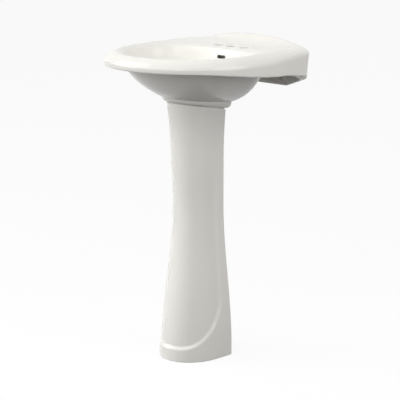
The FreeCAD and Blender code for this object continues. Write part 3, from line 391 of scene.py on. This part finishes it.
def along_back(x, y, half, side, back):
    """Height that is the side's in front and turns into the back's along the arch."""
    share = back_share(x, y, half)
    return side * (1 - share) + back * share


def ring(x, y, height):
    """Points of a ring at a height above the bowl's floor."""
    return np.stack([x, y, BOWL_FLOOR + height + 0 * x], axis=1)


def round_ring(radius, height):
    return ring(radius * np.cos(ANGLES), radius * np.sin(ANGLES), height)


def rim_points(inset, back_inset, draft=0.0):
    """Plan of the rim drawn in by an inset, and at the back corners by the draft too."""
    back_half = RIM_BACK_HALF - inset - draft
    return plan_points(ANGLES, RIM_HALF - inset, RIM_FRONT - inset, WALL_Y - back_inset,
                       RIM_CORNER_SHARPNESS, back_half)


def bowl_ring(share):
    """Ring inside the bowl: share runs from 0 at the floor to 1 at the bowl's edge."""
    half, front, back = [BOSS_RADIUS + (edge - BOSS_RADIUS) * share ** power
                         for edge, power in zip((BOWL_HALF, BOWL_FRONT, BOWL_BACK), BOWL_POWERS)]
    x, y = plan_points(ANGLES, half, front, back, 2 + (BOWL_BACK_POWER - 2) * share)
    grow = BOWL_HALF / half
    side = mixed(CROWN, rise(y * grow)) - LIP_DROP
    edge = along_back(x * grow, y * grow, BOWL_HALF, side, DECK - LIP_BACK_DROP)
    return ring(x, y, edge * share)


def lip_ring(share):
    """Ring on the bowl's rolled lip: share runs from 0 at the bowl's edge to 1 near the crown."""
    roll = LIP_SPAN * share
    half = BOWL_HALF + (RIM_HALF - CROWN_INSET - BOWL_HALF) * roll
    front = BOWL_FRONT + (RIM_FRONT - CROWN_INSET - BOWL_FRONT) * roll
    back = BOWL_BACK + LIP_BACK_WIDTH * share ** LIP_BACK_POWER
    x, y = plan_points(ANGLES, half, front, back, BOWL_BACK_POWER)
    side = mixed(CROWN, rise(y)) - LIP_DROP * (1 - roll) ** 2
    return ring(x, y, along_back(x, y, half, side, DECK - LIP_BACK_DROP * (1 - share) ** 2))


def rim_ring(out, climb):
    """Ring on the rim: out runs from 0 at the crown to 1 at the edge, climb is the share of the arch."""
    inset = CROWN_INSET * (1 - out)
    x, y = rim_points(inset, DECK_SWEEP * (1 - out))
    behind = rise(y, start=EDGE_RISE_START)
    power = mixed(RIM_POWERS, behind)
    fall = (1 - out ** power) ** (1 / power)
    side = mixed((mixed(EDGE, behind), mixed(CROWN, rise(y))), fall)
    return ring(x, y, along_back(x, y, RIM_BACK_HALF - inset, side, DECK + (ARCH - DECK) * climb))


def apron_ring(inset, lift):
    """Ring on the apron's foot, with the wall flange hanging below it at the back."""
    x, y = rim_points(inset, inset, APRON_DRAFT)
    near_wall = smooth((y - WALL_Y + FLANGE_SIDE_REACH) / (FLANGE_SIDE_REACH - APRON_THICKNESS))
    from_end = RIM_BACK_HALF - APRON_DRAFT - np.abs(x)
    along = np.clip(from_end / FLANGE_SLOPE, 0, 1)
    left = 1 - np.clip(from_end / FLANGE_END_ROUND, 0, 1)
    corner = FLANGE_END_ROUND * (1 - np.sqrt(1 - left * left))
    drop = (mixed((FLANGE_END_DROP, FLANGE_DROP), along) - corner) * near_wall
    return ring(x, y, mixed(APRON, rise(y, end=APRON_RISE_END)) - drop + lift)


def collar_height(y, share):
    """Height on the collar, from 0 at its underside to 1 at its upper edge, which is less tilted."""
    edges = -SEAM_SLOPE * y, COLLAR_THICKNESS - COLLAR_SLOPE * y
    return SEAM + COLLAR_LIFT - BOWL_FLOOR + mixed(edges, share)


def outside_ring(share):
    """Ring outside the bowl: share runs from 0 at the collar to 1 under the rim."""
    swell = share * (1 + OUTSIDE_FILL) / (share + OUTSIDE_FILL)
    back_swell = share * (1 + OUTSIDE_BACK_FILL) / (share + OUTSIDE_BACK_FILL)
    half = mixed((COLLAR_HALF, BOWL_HALF + BOWL_WALL), swell)
    front = mixed((COLLAR_FRONT, BOWL_FRONT + BOWL_WALL), swell)
    back = mixed((COLLAR_BACK, BOWL_BACK + BOWL_BACK_WALL), back_swell)
    x, y = plan_points(ANGLES, half, front, back, OUTSIDE_BACK_POWER)
    return ring(x, y, collar_height(y, 1) * (1 - share) + (ROOF - ROOT_ROUND) * share)


def collar_ring(inset, back_inset, share):
    x, y = plan_points(ANGLES, COLLAR_HALF - inset, COLLAR_FRONT - inset, COLLAR_BACK - back_inset,
                       OUTSIDE_BACK_POWER)
    return ring(x, y, collar_height(y, share))


def root_ring():
    out = BOWL_WALL + ROOT_ROUND
    x, y = plan_points(ANGLES, BOWL_HALF + out, BOWL_FRONT + out, BOWL_BACK + BOWL_BACK_WALL + ROOT_ROUND,
                       OUTSIDE_BACK_POWER)
    return ring(x, y, ROOF)


def turn_steps(degrees, power=2.0):
    """Way in and way left at points of a round, as shares of its radius; a higher power is squarer."""
    steps = []
    for angle in degrees:
        across = math.cos(math.radians(angle))
        along = math.sin(math.radians(angle))
        steps.append((1 - math.copysign(abs(across) ** (2 / power), across), 1 - along ** (2 / power)))
    return steps


def basin_rows():
    """All rings of the basin in order, from the bowl's floor over the rim and under to the drain hole."""
    top = [bowl_ring(share) for share in BOWL_SHARES]
    top += [lip_ring(share) for share in LIP_SHARES]
    top += [rim_ring(out, climb) for out, climb in RIM_SHARES]
    foot = [apron_ring(APRON_THICKNESS / 2 * way, APRON_THICKNESS / 2 * left)
            for way, left in turn_steps(APRON_FOOT_ANGLES, APRON_FOOT_POWER)]
    roof = []
    for way, left in turn_steps(ROUND_ANGLES):
        inset = APRON_THICKNESS + TROUGH_ROUND * way
        x, y = rim_points(inset, inset)
        roof.append(ring(x, y, ROOF - TROUGH_ROUND * left))
    outside = [root_ring()]
    outside += [outside_ring(share) for share in OUTSIDE_SHARES]
    collar = [collar_ring(COLLAR_ROUND * way, COLLAR_BACK_ROUND * way, left)
              for way, left in turn_steps(ROUND_ANGLES)]
    x, y = BOSS_RADIUS * np.cos(ANGLES), BOSS_RADIUS * np.sin(ANGLES)
    drain = [ring(x, y, collar_height(y, 0)), round_ring(BOSS_RADIUS, -BOSS_DEPTH),
             round_ring(DRAIN_HOLE_RADIUS, -BOSS_DEPTH), round_ring(DRAIN_HOLE_RADIUS, -RECESS_DEPTH),
             round_ring(RECESS_RADIUS, -RECESS_DEPTH), round_ring(RECESS_RADIUS, 0)]

    rows = smooth_rows(top, ROWS_PER_SPAN)
    rows += straight_rows(rows[-1], foot[0], APRON_ROWS) + foot
    rows += straight_rows(foot[-1], roof[0], UNDERSIDE_ROWS) + roof
    rows += straight_rows(roof[-1], outside[0], UNDERSIDE_ROWS)
    rows += smooth_rows(outside, ROWS_PER_SPAN)
    rows += collar[1:] + drain
    return rows


def faucet_holes(profile):
    """Shells of one profile on the axes of the three holes, heights counted from the deck."""
    y = WALL_Y - FAUCET_HOLE_WALL_GAP
    return [lathe(profile, HOLE_SIDES, (side * FAUCET_HOLE_SPACING, y, BOWL_FLOOR + DECK))
            for side in (-1, 0, 1)]


def on_bolt_axes(profile, sides):
    """Shells of one profile on the axes of the two wall bolts, heights counted into the wall."""
    return [lathe(profile, sides, (side * BOLT_SPACING / 2, WALL_Y, BOWL_FLOOR + BOLT_RISE), TOWARD_WALL)
            for side in (-1, 1)]


def hole_mouths():
    """Cutter of the rounded mouths of the faucet holes, which the glaze covers."""
    flare = [(FAUCET_HOLE_RADIUS + HOLE_ROUND * way, -HOLE_ROUND * left)
             for way, left in turn_steps(HOLE_MOUTH_ANGLES)]
    inside = FAUCET_HOLE_RADIUS - HOLE_ROUND
    mouth = flare[-1][0] + HOLE_ROUND
    profile = [(inside, -HOLE_ROUND)] + flare + [(mouth, HOLE_ROUND), (mouth, HOLE_CUT_ABOVE)]
    return joined_shells("mouths", faucet_holes(profile))


def basin_cutters():
    """Bores of the faucet holes, the overflow slot and the wall bolt holes."""
    holes = faucet_holes([(FAUCET_HOLE_RADIUS, -HOLE_CUT_DEPTH), (FAUCET_HOLE_RADIUS, HOLE_CUT_ABOVE)])
    bolts = on_bolt_axes([(BOLT_RADIUS, -BOLT_CUT_DEPTH), (BOLT_RADIUS, APRON_THICKNESS)], BOLT_SIDES)

    half = OVERFLOW_TALL / 2
    straight = OVERFLOW_WIDTH / 2 - half
    turns = np.radians(np.arange(0, 360, SLOT_STEP))
    around = np.stack([np.sign(np.cos(turns)) * straight + half * np.cos(turns), 0 * turns,
                       half * np.sin(turns)], axis=1)
    middle = np.array([0, 0, BOWL_FLOOR + DECK - OVERFLOW_DROP])
    slot = [around + middle + np.array([0, y, 0]) for y in (BOSS_RADIUS, BOWL_BACK + CHANNEL_DEPTH / 2)]
    return joined_shells("openings", holes + bolts + [(np.concatenate(slot), prism_faces(len(turns)))])


def overflow_channel():
    """Passage behind the overflow slot, down inside the bowl's back wall and forward to the drain hole."""
    top = DECK - OVERFLOW_DROP + OVERFLOW_TALL / 2
    outer = BOWL_BACK + CHANNEL_DEPTH
    bend = BOWL_BACK - CHANNEL_DEPTH
    half_deep = CHANNEL_DEPTH / 2
    down = [(BOWL_BACK, top), (outer, top), (outer, CHANNEL_RISE), (bend + half_deep, -half_deep)]
    port_low = -PORT_DROP - PORT_TALL / 2
    port_high = -PORT_DROP + PORT_TALL / 2
    back_up = [(DRAIN_BODY_RADIUS, port_low), (DRAIN_BODY_RADIUS, port_high), (bend, half_deep),
               (BOWL_BACK, CHANNEL_RISE)]
    path = down + back_up
    points = [(x, y, BOWL_FLOOR + z) for x in (-CHANNEL_WIDTH / 2, CHANNEL_WIDTH / 2) for y, z in path]
    return mesh_object("channel", points, prism_faces(len(path)))


def wall_lugs():
    """Bosses round the wall bolts, on the front of the flange."""
    round_off = EDGE_ROUND / 2
    profile = [(LUG_RADIUS - round_off, -LUG_DEPTH), (LUG_RADIUS, round_off - LUG_DEPTH),
               (LUG_RADIUS, -round_off)]
    return joined_shells("lugs", on_bolt_axes(profile, LUG_SIDES))


def make_basin():
    rows = basin_rows()
    points = np.concatenate(rows)
    basin = mesh_object("basin_glazed", points, grid_faces(len(rows), len(ANGLES), wrap_rows=True))
    basin.data.materials.append(MATERIALS["china"])
    outward(basin)
    combine(basin, wall_lugs(), "UNION")
    # The overflow passage is lined with a near-black finish, which is painted shade inside the slot
    combine(basin, overflow_channel(), "DIFFERENCE", "passage_painted_shade")
    combine(basin, basin_cutters(), "DIFFERENCE", "bare_china")
    combine(basin, hole_mouths(), "DIFFERENCE")
    basin.data.transform(Matrix.Translation((0, DRAIN_Y, 0)))
    shade(basin, CHINA_SHARP_ANGLE)
    return basin


# Pedestal

def pedestal_plan(level, inset, back_inset):
    """Plan of the column at a level, as plan_points takes it, drawn in by the insets."""
    foot = 1 - smooth((level - FOOT_FLARE[0]) / (FOOT_FLARE[1] - FOOT_FLARE[0]))
    neck = max(0.0, 1 - (SEAM - level) / NECK_FLARE) ** NECK_POWER
    half, front, back = [waist + (low - waist) * foot + (high - waist) * neck
                         for waist, low, high in zip(WAIST, FOOT, NECK)]
    return half - inset, front - inset, back - back_inset, CORNER_SHARPNESS, PEDESTAL_TAPER * (half - inset)


def panel_share(y, level):
    """1 on the recessed panel, 0 on the foot band and the back strips, with a soft ledge between."""
    across = np.clip((y - PANEL_FRONT) / (PANEL_BACK - PANEL_FRONT), LEAST_SHARE, None)
    down = np.clip((PANEL_CORNER - level) / (PANEL_CORNER - PANEL_LOW), LEAST_SHARE, None)
    steep = np.hypot(across ** (PANEL_POWER - 1) / (PANEL_BACK - PANEL_FRONT),
                     down ** (PANEL_POWER - 1) / (PANEL_CORNER - PANEL_LOW)) * PANEL_POWER
    inside = (1 - across ** PANEL_POWER - down ** PANEL_POWER) / steep
    return smooth(inside / LEDGE_WIDTH + 0.5)


def wall_path(level):
    """Angles round the open-backed wall from return to return, closer on the corners and the ledge."""
    plan = pedestal_plan(level, 0, 0)
    start = math.atan2(plan[2], plan[0] - BACK_RETURN)
    angles = np.linspace(start, -math.pi - start, PATH_SAMPLES)
    x, y = plan_points(angles, *plan)
    near_corner = np.exp(-((np.abs(x) - plan[0]) ** 2 + (y - plan[2]) ** 2) / PATH_NEAR ** 2)
    near_ledge = np.exp(-((y - PANEL_BACK) / PATH_NEAR) ** 2)
    weight = 1 + PATH_CORNER_WEIGHT * near_corner + PATH_LEDGE_WEIGHT * near_ledge
    way = np.concatenate([[0], np.cumsum(weight[1:] * np.hypot(np.diff(x), np.diff(y)))])
    return np.interp(np.linspace(0, way[-1], PEDESTAL_COLUMNS), way, angles)


def tilted(level, y):
    """Height of a point of the column, tilted with the seam near its top."""
    lean = smooth((level - FOOT_FLARE[1]) / (SEAM - FOOT_FLARE[1]))
    return level - SEAM_SLOPE * (y + PEDESTAL_SETBACK) * lean


def wall_row(level):
    """One closed loop: the outside of the wall from return to return, then the inside back again."""
    angles = wall_path(level)
    plan = pedestal_plan(level, 0, 0)
    x, y = plan_points(angles, *plan)
    fade = 1 - smooth((level - PANEL_FADE[0]) / (PANEL_FADE[1] - PANEL_FADE[0]))
    ends = min(level, SEAM - level)
    rounding = EDGE_ROUND - math.sqrt(max(0.0, EDGE_ROUND ** 2 - max(0.0, EDGE_ROUND - ends) ** 2))
    depth = PANEL_RECESS * fade * panel_share(y, level) + rounding
    sunk = plan_points(angles, *pedestal_plan(level, PANEL_RECESS, 0))
    share = depth / PANEL_RECESS
    outer = [base + (deep - base) * share for base, deep in zip((x, y), sunk)]

    inner_plan = pedestal_plan(level, PANEL_RECESS + PEDESTAL_WALL, PEDESTAL_WALL)
    edge = plan[0] - BACK_RETURN
    start = math.atan2(inner_plan[2], edge)
    turn = (angles - angles[0]) / (angles[-1] - angles[0])
    inner = plan_points(start + turn * (-math.pi - 2 * start), *inner_plan)
    loop_x = np.concatenate([outer[0], inner[0][::-1]])
    loop_y = np.concatenate([outer[1], inner[1][::-1]])
    return np.stack([loop_x, loop_y, tilted(level, loop_y)], axis=1)


def foot_lug(side):
    """Block inside the foot with a hole for a floor screw."""
    wide, deep, tall = FOOT_LUG
    turns = np.radians(np.arange(0, 360, FOOT_LUG_STEP))
    edge = superellipse(turns, wide / 2, deep / 2, CORNER_SHARPNESS)
    into_wall = np.where(np.sin(turns) > 0, PEDESTAL_WALL / 2, 0)
    hole = SCREW_RADIUS + 0 * edge
    sections = ((edge, 0, into_wall), (edge, tall - EDGE_ROUND, into_wall),
                (edge - EDGE_ROUND, tall, into_wall), (hole, tall, 0), (hole, 0, 0))
    rows = []
    for away, height, longer in sections:
        x = away * np.cos(turns)
        y = away * np.sin(turns) + longer
        rows.append(np.stack([x, y, height + 0 * turns], axis=1))
    middle = (side * SCREW_SPACING / 2, FOOT[2] - PEDESTAL_WALL - deep / 2, 0)
    return np.concatenate(rows) + np.array(middle), grid_faces(len(rows), len(turns), wrap_rows=True)


def make_pedestal():
    ends = EDGE_ROUND * (1 - np.cos(np.radians(ROUND_ANGLES)))
    fine = np.linspace(EDGE_ROUND, PANEL_CORNER + LEDGE_WIDTH, FINE_LEVELS)[1:]
    plain = np.linspace(fine[-1], SEAM - EDGE_ROUND, PLAIN_LEVELS)[1:-1]
    levels = np.concatenate([ends, fine, plain, SEAM - ends[::-1]])
    rows = [wall_row(level) for level in levels]
    count = 2 * PEDESTAL_COLUMNS
    faces = grid_faces(len(rows), count)
    for first in (0, (len(rows) - 1) * count):
        for j in range(PEDESTAL_COLUMNS - 1):
            faces.append((first + j, first + j + 1, first + count - 2 - j, first + count - 1 - j))
    shells = [(np.concatenate(rows), faces)] + [foot_lug(side) for side in (-1, 1)]
    pedestal = joined_shells("pedestal_glazed", shells)
    pedestal.data.materials.append(MATERIALS["china"])
    outward(pedestal)
    pedestal.data.transform(Matrix.Translation((0, PEDESTAL_Y, 0)))
    shade(pedestal, CHINA_SHARP_ANGLE)
    return pedestal


# Materials: noise values between the two ends of the range turn into colour and gloss

NOISE_RANGE = (0.3, 0.7)
COLOUR_SCALE = 9.0
COLOUR_DETAIL = 3
GLOSS_DETAIL = 4
GRAIN_SCALE = 220.0
GRAIN_DETAIL = 2


def new_material(name):
    made = bpy.data.materials.new(name)
    made.use_nodes = True
    tree = made.node_tree
    shader = next(node for node in tree.nodes if node.type == "BSDF_PRINCIPLED")
    where = tree.nodes.new("ShaderNodeTexCoord")
    return made, tree, shader, where.outputs["Object"]


def noise(tree, where, scale, detail):
    made = tree.nodes.new("ShaderNodeTexNoise")
    made.inputs["Scale"].default_value = scale
    made.inputs["Detail"].default_value = detail
    tree.links.new(where, made.inputs["Vector"])
    return made.outputs["Fac"]


def ranged(tree, value, low, high):
    made = tree.nodes.new("ShaderNodeMapRange")
    made.inputs["From Min"].default_value = NOISE_RANGE[0]
    made.inputs["From Max"].default_value = NOISE_RANGE[1]
    made.inputs["To Min"].default_value = low
    made.inputs["To Max"].default_value = high
    tree.links.new(value, made.inputs["Value"])
    return made.outputs["Result"]


def tinted(tree, value, first, second):
    made = tree.nodes.new("ShaderNodeValToRGB")
    made.color_ramp.elements[0].position = NOISE_RANGE[0]
    made.color_ramp.elements[1].position = NOISE_RANGE[1]
    made.color_ramp.elements[0].color = (*first, 1)
    made.color_ramp.elements[1].color = (*second, 1)
    tree.links.new(value, made.inputs["Fac"])
    return made.outputs["Color"]


def bumped(tree, shader, value, distance):
    made = tree.nodes.new("ShaderNodeBump")
    made.inputs["Distance"].default_value = distance
    tree.links.new(value, made.inputs["Height"])
    tree.links.new(made.outputs["Normal"], shader.inputs["Normal"])


def finish_material(name, first, second, rough, metallic=0.0, grain_scale=GRAIN_SCALE, grain=0.0):
    """Surface with a slight drift of colour between two tones, uneven gloss and a fine grain."""
    made, tree, shader, where = new_material(name)
    colour = tinted(tree, noise(tree, where, COLOUR_SCALE, COLOUR_DETAIL), first, second)
    tree.links.new(colour, shader.inputs["Base Color"])
    gloss = ranged(tree, noise(tree, where, grain_scale, GLOSS_DETAIL), *rough)
    tree.links.new(gloss, shader.inputs["Roughness"])
    shader.inputs["Metallic"].default_value = metallic
    bumped(tree, shader, noise(tree, where, grain_scale, GRAIN_DETAIL), grain)
    return made


MATERIALS = {
    "china": finish_material("china", (0.80, 0.782, 0.735), (0.82, 0.802, 0.755), (0.07, 0.12),
                             grain_scale=38.0, grain=0.00012),
    "bare_china": finish_material("bare_china", (0.66, 0.64, 0.60), (0.72, 0.70, 0.66), (0.6, 0.8),
                                  grain_scale=400.0, grain=0.0001),
    # Overflow passage lining: rough like unglazed china, but its near-black colour is painted shade
    "passage_painted_shade": finish_material("passage_painted_shade", (0.15, 0.145, 0.135), (0.20, 0.19, 0.18), (0.7, 0.9),
                                    grain_scale=400.0, grain=0.0002),
    "chrome": finish_material("chrome", (0.78, 0.79, 0.80), (0.82, 0.83, 0.84), (0.06, 0.14), metallic=1.0,
                              grain=0.00001),
    "brass": finish_material("brass", (0.66, 0.49, 0.24), (0.74, 0.57, 0.30), (0.24, 0.38), metallic=1.0,
                             grain=0.00003),
    "rubber": finish_material("rubber", (0.022, 0.022, 0.022), (0.034, 0.034, 0.033), (0.55, 0.75),
                              grain=0.00006),
    "seat_foam": finish_material("seat_foam", (0.60, 0.60, 0.585), (0.68, 0.68, 0.665), (0.7, 0.9),
                                 grain_scale=600.0, grain=0.0001),
    "nylon": finish_material("nylon", (0.66, 0.66, 0.62), (0.72, 0.72, 0.68), (0.4, 0.55), grain=0.00004),
    "cartridge": finish_material("cartridge", (0.018, 0.018, 0.019), (0.028, 0.028, 0.03), (0.28, 0.42),
                                 grain=0.00003),
    "spring_steel": finish_material("spring_steel", (0.52, 0.52, 0.52), (0.6, 0.6, 0.6), (0.2, 0.32),
                                    metallic=1.0),
}

FINISHES = {
    "chrome": ("drain_body", "stopper_cap", "tailpiece", "tailpiece_nut", "trap_j_bend", "trap_inlet_nut",
               "trap_elbow", "trap_union_nut", "trap_outlet_nut"),
    "brass": ("drain_locknut", "stopper_stem"),
    "rubber": ("drain_flange_seal", "drain_gasket", "stopper_seal", "tailpiece_seal", "trap_union_washer"),
    "nylon": ("drain_washer", "trap_inlet_washer", "trap_outlet_washer"),
    "seat_foam": ("seat_gasket",),
    "cartridge": ("click_cartridge",),
    "spring_steel": ("click_spring",),
    "china": ("basin", "pedestal"),
}
BEVELLED = ("drain_locknut", "tailpiece_nut", "trap_inlet_nut", "trap_union_nut", "trap_outlet_nut",
            "stopper_cap", "drain_body")
BEVEL_WIDTH = 0.0005
BEVEL_SEGMENTS = 2


def paint(made, name):
    made.data.materials.clear()
    made.data.materials.append(MATERIALS[name])


def dress_solids():
    for finish, nodes in FINISHES.items():
        for node in nodes:
            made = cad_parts[node]
            paint(made, finish)
            shade(made, FITTING_SHARP_ANGLE)
            if node in BEVELLED:
                bevel = made.modifiers.new("edge", "BEVEL")
                bevel.width = BEVEL_WIDTH
                bevel.segments = BEVEL_SEGMENTS
                bevel.angle_limit = math.radians(FITTING_SHARP_ANGLE)


def dress_china():
    for made, node in ((make_basin(), "basin"), (make_pedestal(), "pedestal")):
        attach(made, "sink")
        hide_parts(node)


# Room: floor, light and camera

FLOOR_SIZE = 60.0
FLOOR_SEEN = (0.90, 0.91)
FLOOR_BOUNCE = (0.12, 0.14)
FLOOR_GLOW = 0.90
FLOOR_NOISE_SCALE = 2.0
FLOOR_NOISE_DETAIL = 2
WORLD_LIGHT = 0.50
WORLD_SEEN = 1.0
CAMERA_AZIMUTH = 47.02
CAMERA_PITCH = 12.08
CAMERA_DISTANCE = 4.299
CAMERA_TARGET = Vector((0, 0.0237, 0.4413))
CAMERA_LENS = 137.97
CAMERA_SENSOR = 36.0
FULL_SPREAD = 180
# Lamps: place, point aimed at, width, power and spread in degrees
LAMPS = {
    "overhead": ((-0.3, -0.6, 3.6), (0, 0, 0.8), 3.0, 2, FULL_SPREAD),
    "left": ((-2.4, -2.0, 2.4), (0, 0, 0.5), 3.2, 59, FULL_SPREAD),
    "low_left": ((-1.9, -2.1, 0.8), (0, 0, 0.1), 0.9, 0.8, 30),
    "key": ((0.2, -2.5, 1.9), (0, 0, 0.7), 3.0, 26, FULL_SPREAD),
    "right": ((2.3, 0.4, 1.9), (0, 0, 0.7), 2.4, 26, FULL_SPREAD),
    "front": ((2.2, -2.4, 3.0), (0, 0, 0.6), 2.8, 8, FULL_SPREAD),
}


def mix_shaders(tree, share, first, second):
    made = tree.nodes.new("ShaderNodeMixShader")
    if isinstance(share, float):
        made.inputs["Fac"].default_value = share
    else:
        tree.links.new(share, made.inputs["Fac"])
    tree.links.new(first, made.inputs[1])
    tree.links.new(second, made.inputs[2])
    return made.outputs["Shader"]


def shown(tree, lit, seen):
    """One shader for light that falls on the object, another for what is seen straight or in a gloss."""
    path = tree.nodes.new("ShaderNodeLightPath")
    made = lit
    for ray in ("Is Camera Ray", "Is Glossy Ray", "Is Transmission Ray"):
        made = mix_shaders(tree, path.outputs[ray], made, seen)
    return made


def plain_diffuse(tree, where, tones):
    made = tree.nodes.new("ShaderNodeBsdfDiffuse")
    drift = noise(tree, where, FLOOR_NOISE_SCALE, FLOOR_NOISE_DETAIL)
    tone = tinted(tree, drift, (tones[0],) * 3, (tones[1],) * 3)
    tree.links.new(tone, made.inputs["Color"])
    return made.outputs["BSDF"]


def make_floor():
    """White floor that keeps the shadow, with a softer bounce on to the china."""
    half = FLOOR_SIZE / 2
    corners = [(-half, -half, 0), (half, -half, 0), (half, half, 0), (-half, half, 0)]
    floor = mesh_object("floor", corners, [(0, 1, 2, 3)])
    made, tree, shader, where = new_material("floor")
    tree.nodes.remove(shader)
    glow = tree.nodes.new("ShaderNodeEmission")
    seen = mix_shaders(tree, FLOOR_GLOW, plain_diffuse(tree, where, FLOOR_SEEN), glow.outputs["Emission"])
    surface = shown(tree, plain_diffuse(tree, where, FLOOR_BOUNCE), seen)
    output = next(node for node in tree.nodes if node.type == "OUTPUT_MATERIAL")
    tree.links.new(surface, output.inputs["Surface"])
    floor.data.materials.append(made)


def make_world():
    world = bpy.data.worlds.new("room")
    bpy.context.scene.world = world
    world.use_nodes = True
    tree = world.node_tree
    lit = next(node for node in tree.nodes if node.type == "BACKGROUND")
    seen = tree.nodes.new("ShaderNodeBackground")
    for sky, strength in ((lit, WORLD_LIGHT), (seen, WORLD_SEEN)):
        sky.inputs["Color"].default_value = (1, 1, 1, 1)
        sky.inputs["Strength"].default_value = strength
    output = next(node for node in tree.nodes if node.type == "OUTPUT_WORLD")
    whole = shown(tree, lit.outputs["Background"], seen.outputs["Background"])
    tree.links.new(whole, output.inputs["Surface"])


def make_lamp(name, place, aim, wide, power, spread):
    data = bpy.data.lights.new(name, "AREA")
    data.shape = "DISK"
    data.size = wide
    data.energy = power
    data.spread = math.radians(spread)
    lamp = bpy.data.objects.new(name, data)
    lamp.location = place
    lamp.rotation_mode = "QUATERNION"
    lamp.rotation_quaternion = (Vector(aim) - Vector(place)).to_track_quat("-Z", "Y")
    bpy.context.scene.collection.objects.link(lamp)


def make_camera():
    turn = math.radians(CAMERA_AZIMUTH)
    pitch = math.radians(CAMERA_PITCH)
    back = Vector((math.sin(turn) * math.cos(pitch), -math.cos(turn) * math.cos(pitch), math.sin(pitch)))
    data = bpy.data.cameras.new("camera")
    data.lens = CAMERA_LENS
    data.sensor_width = CAMERA_SENSOR
    camera = bpy.data.objects.new("camera", data)
    camera.location = CAMERA_TARGET + back * CAMERA_DISTANCE
    camera.rotation_mode = "QUATERNION"
    camera.rotation_quaternion = (-back).to_track_quat("-Z", "Y")
    bpy.context.scene.collection.objects.link(camera)
    bpy.context.scene.camera = camera


dress_solids()
dress_china()
make_floor()
make_world()
for lamp_name, lamp_values in LAMPS.items():
    make_lamp(lamp_name, *lamp_values)
make_camera()
bpy.context.scene.view_settings.view_transform = "Standard"
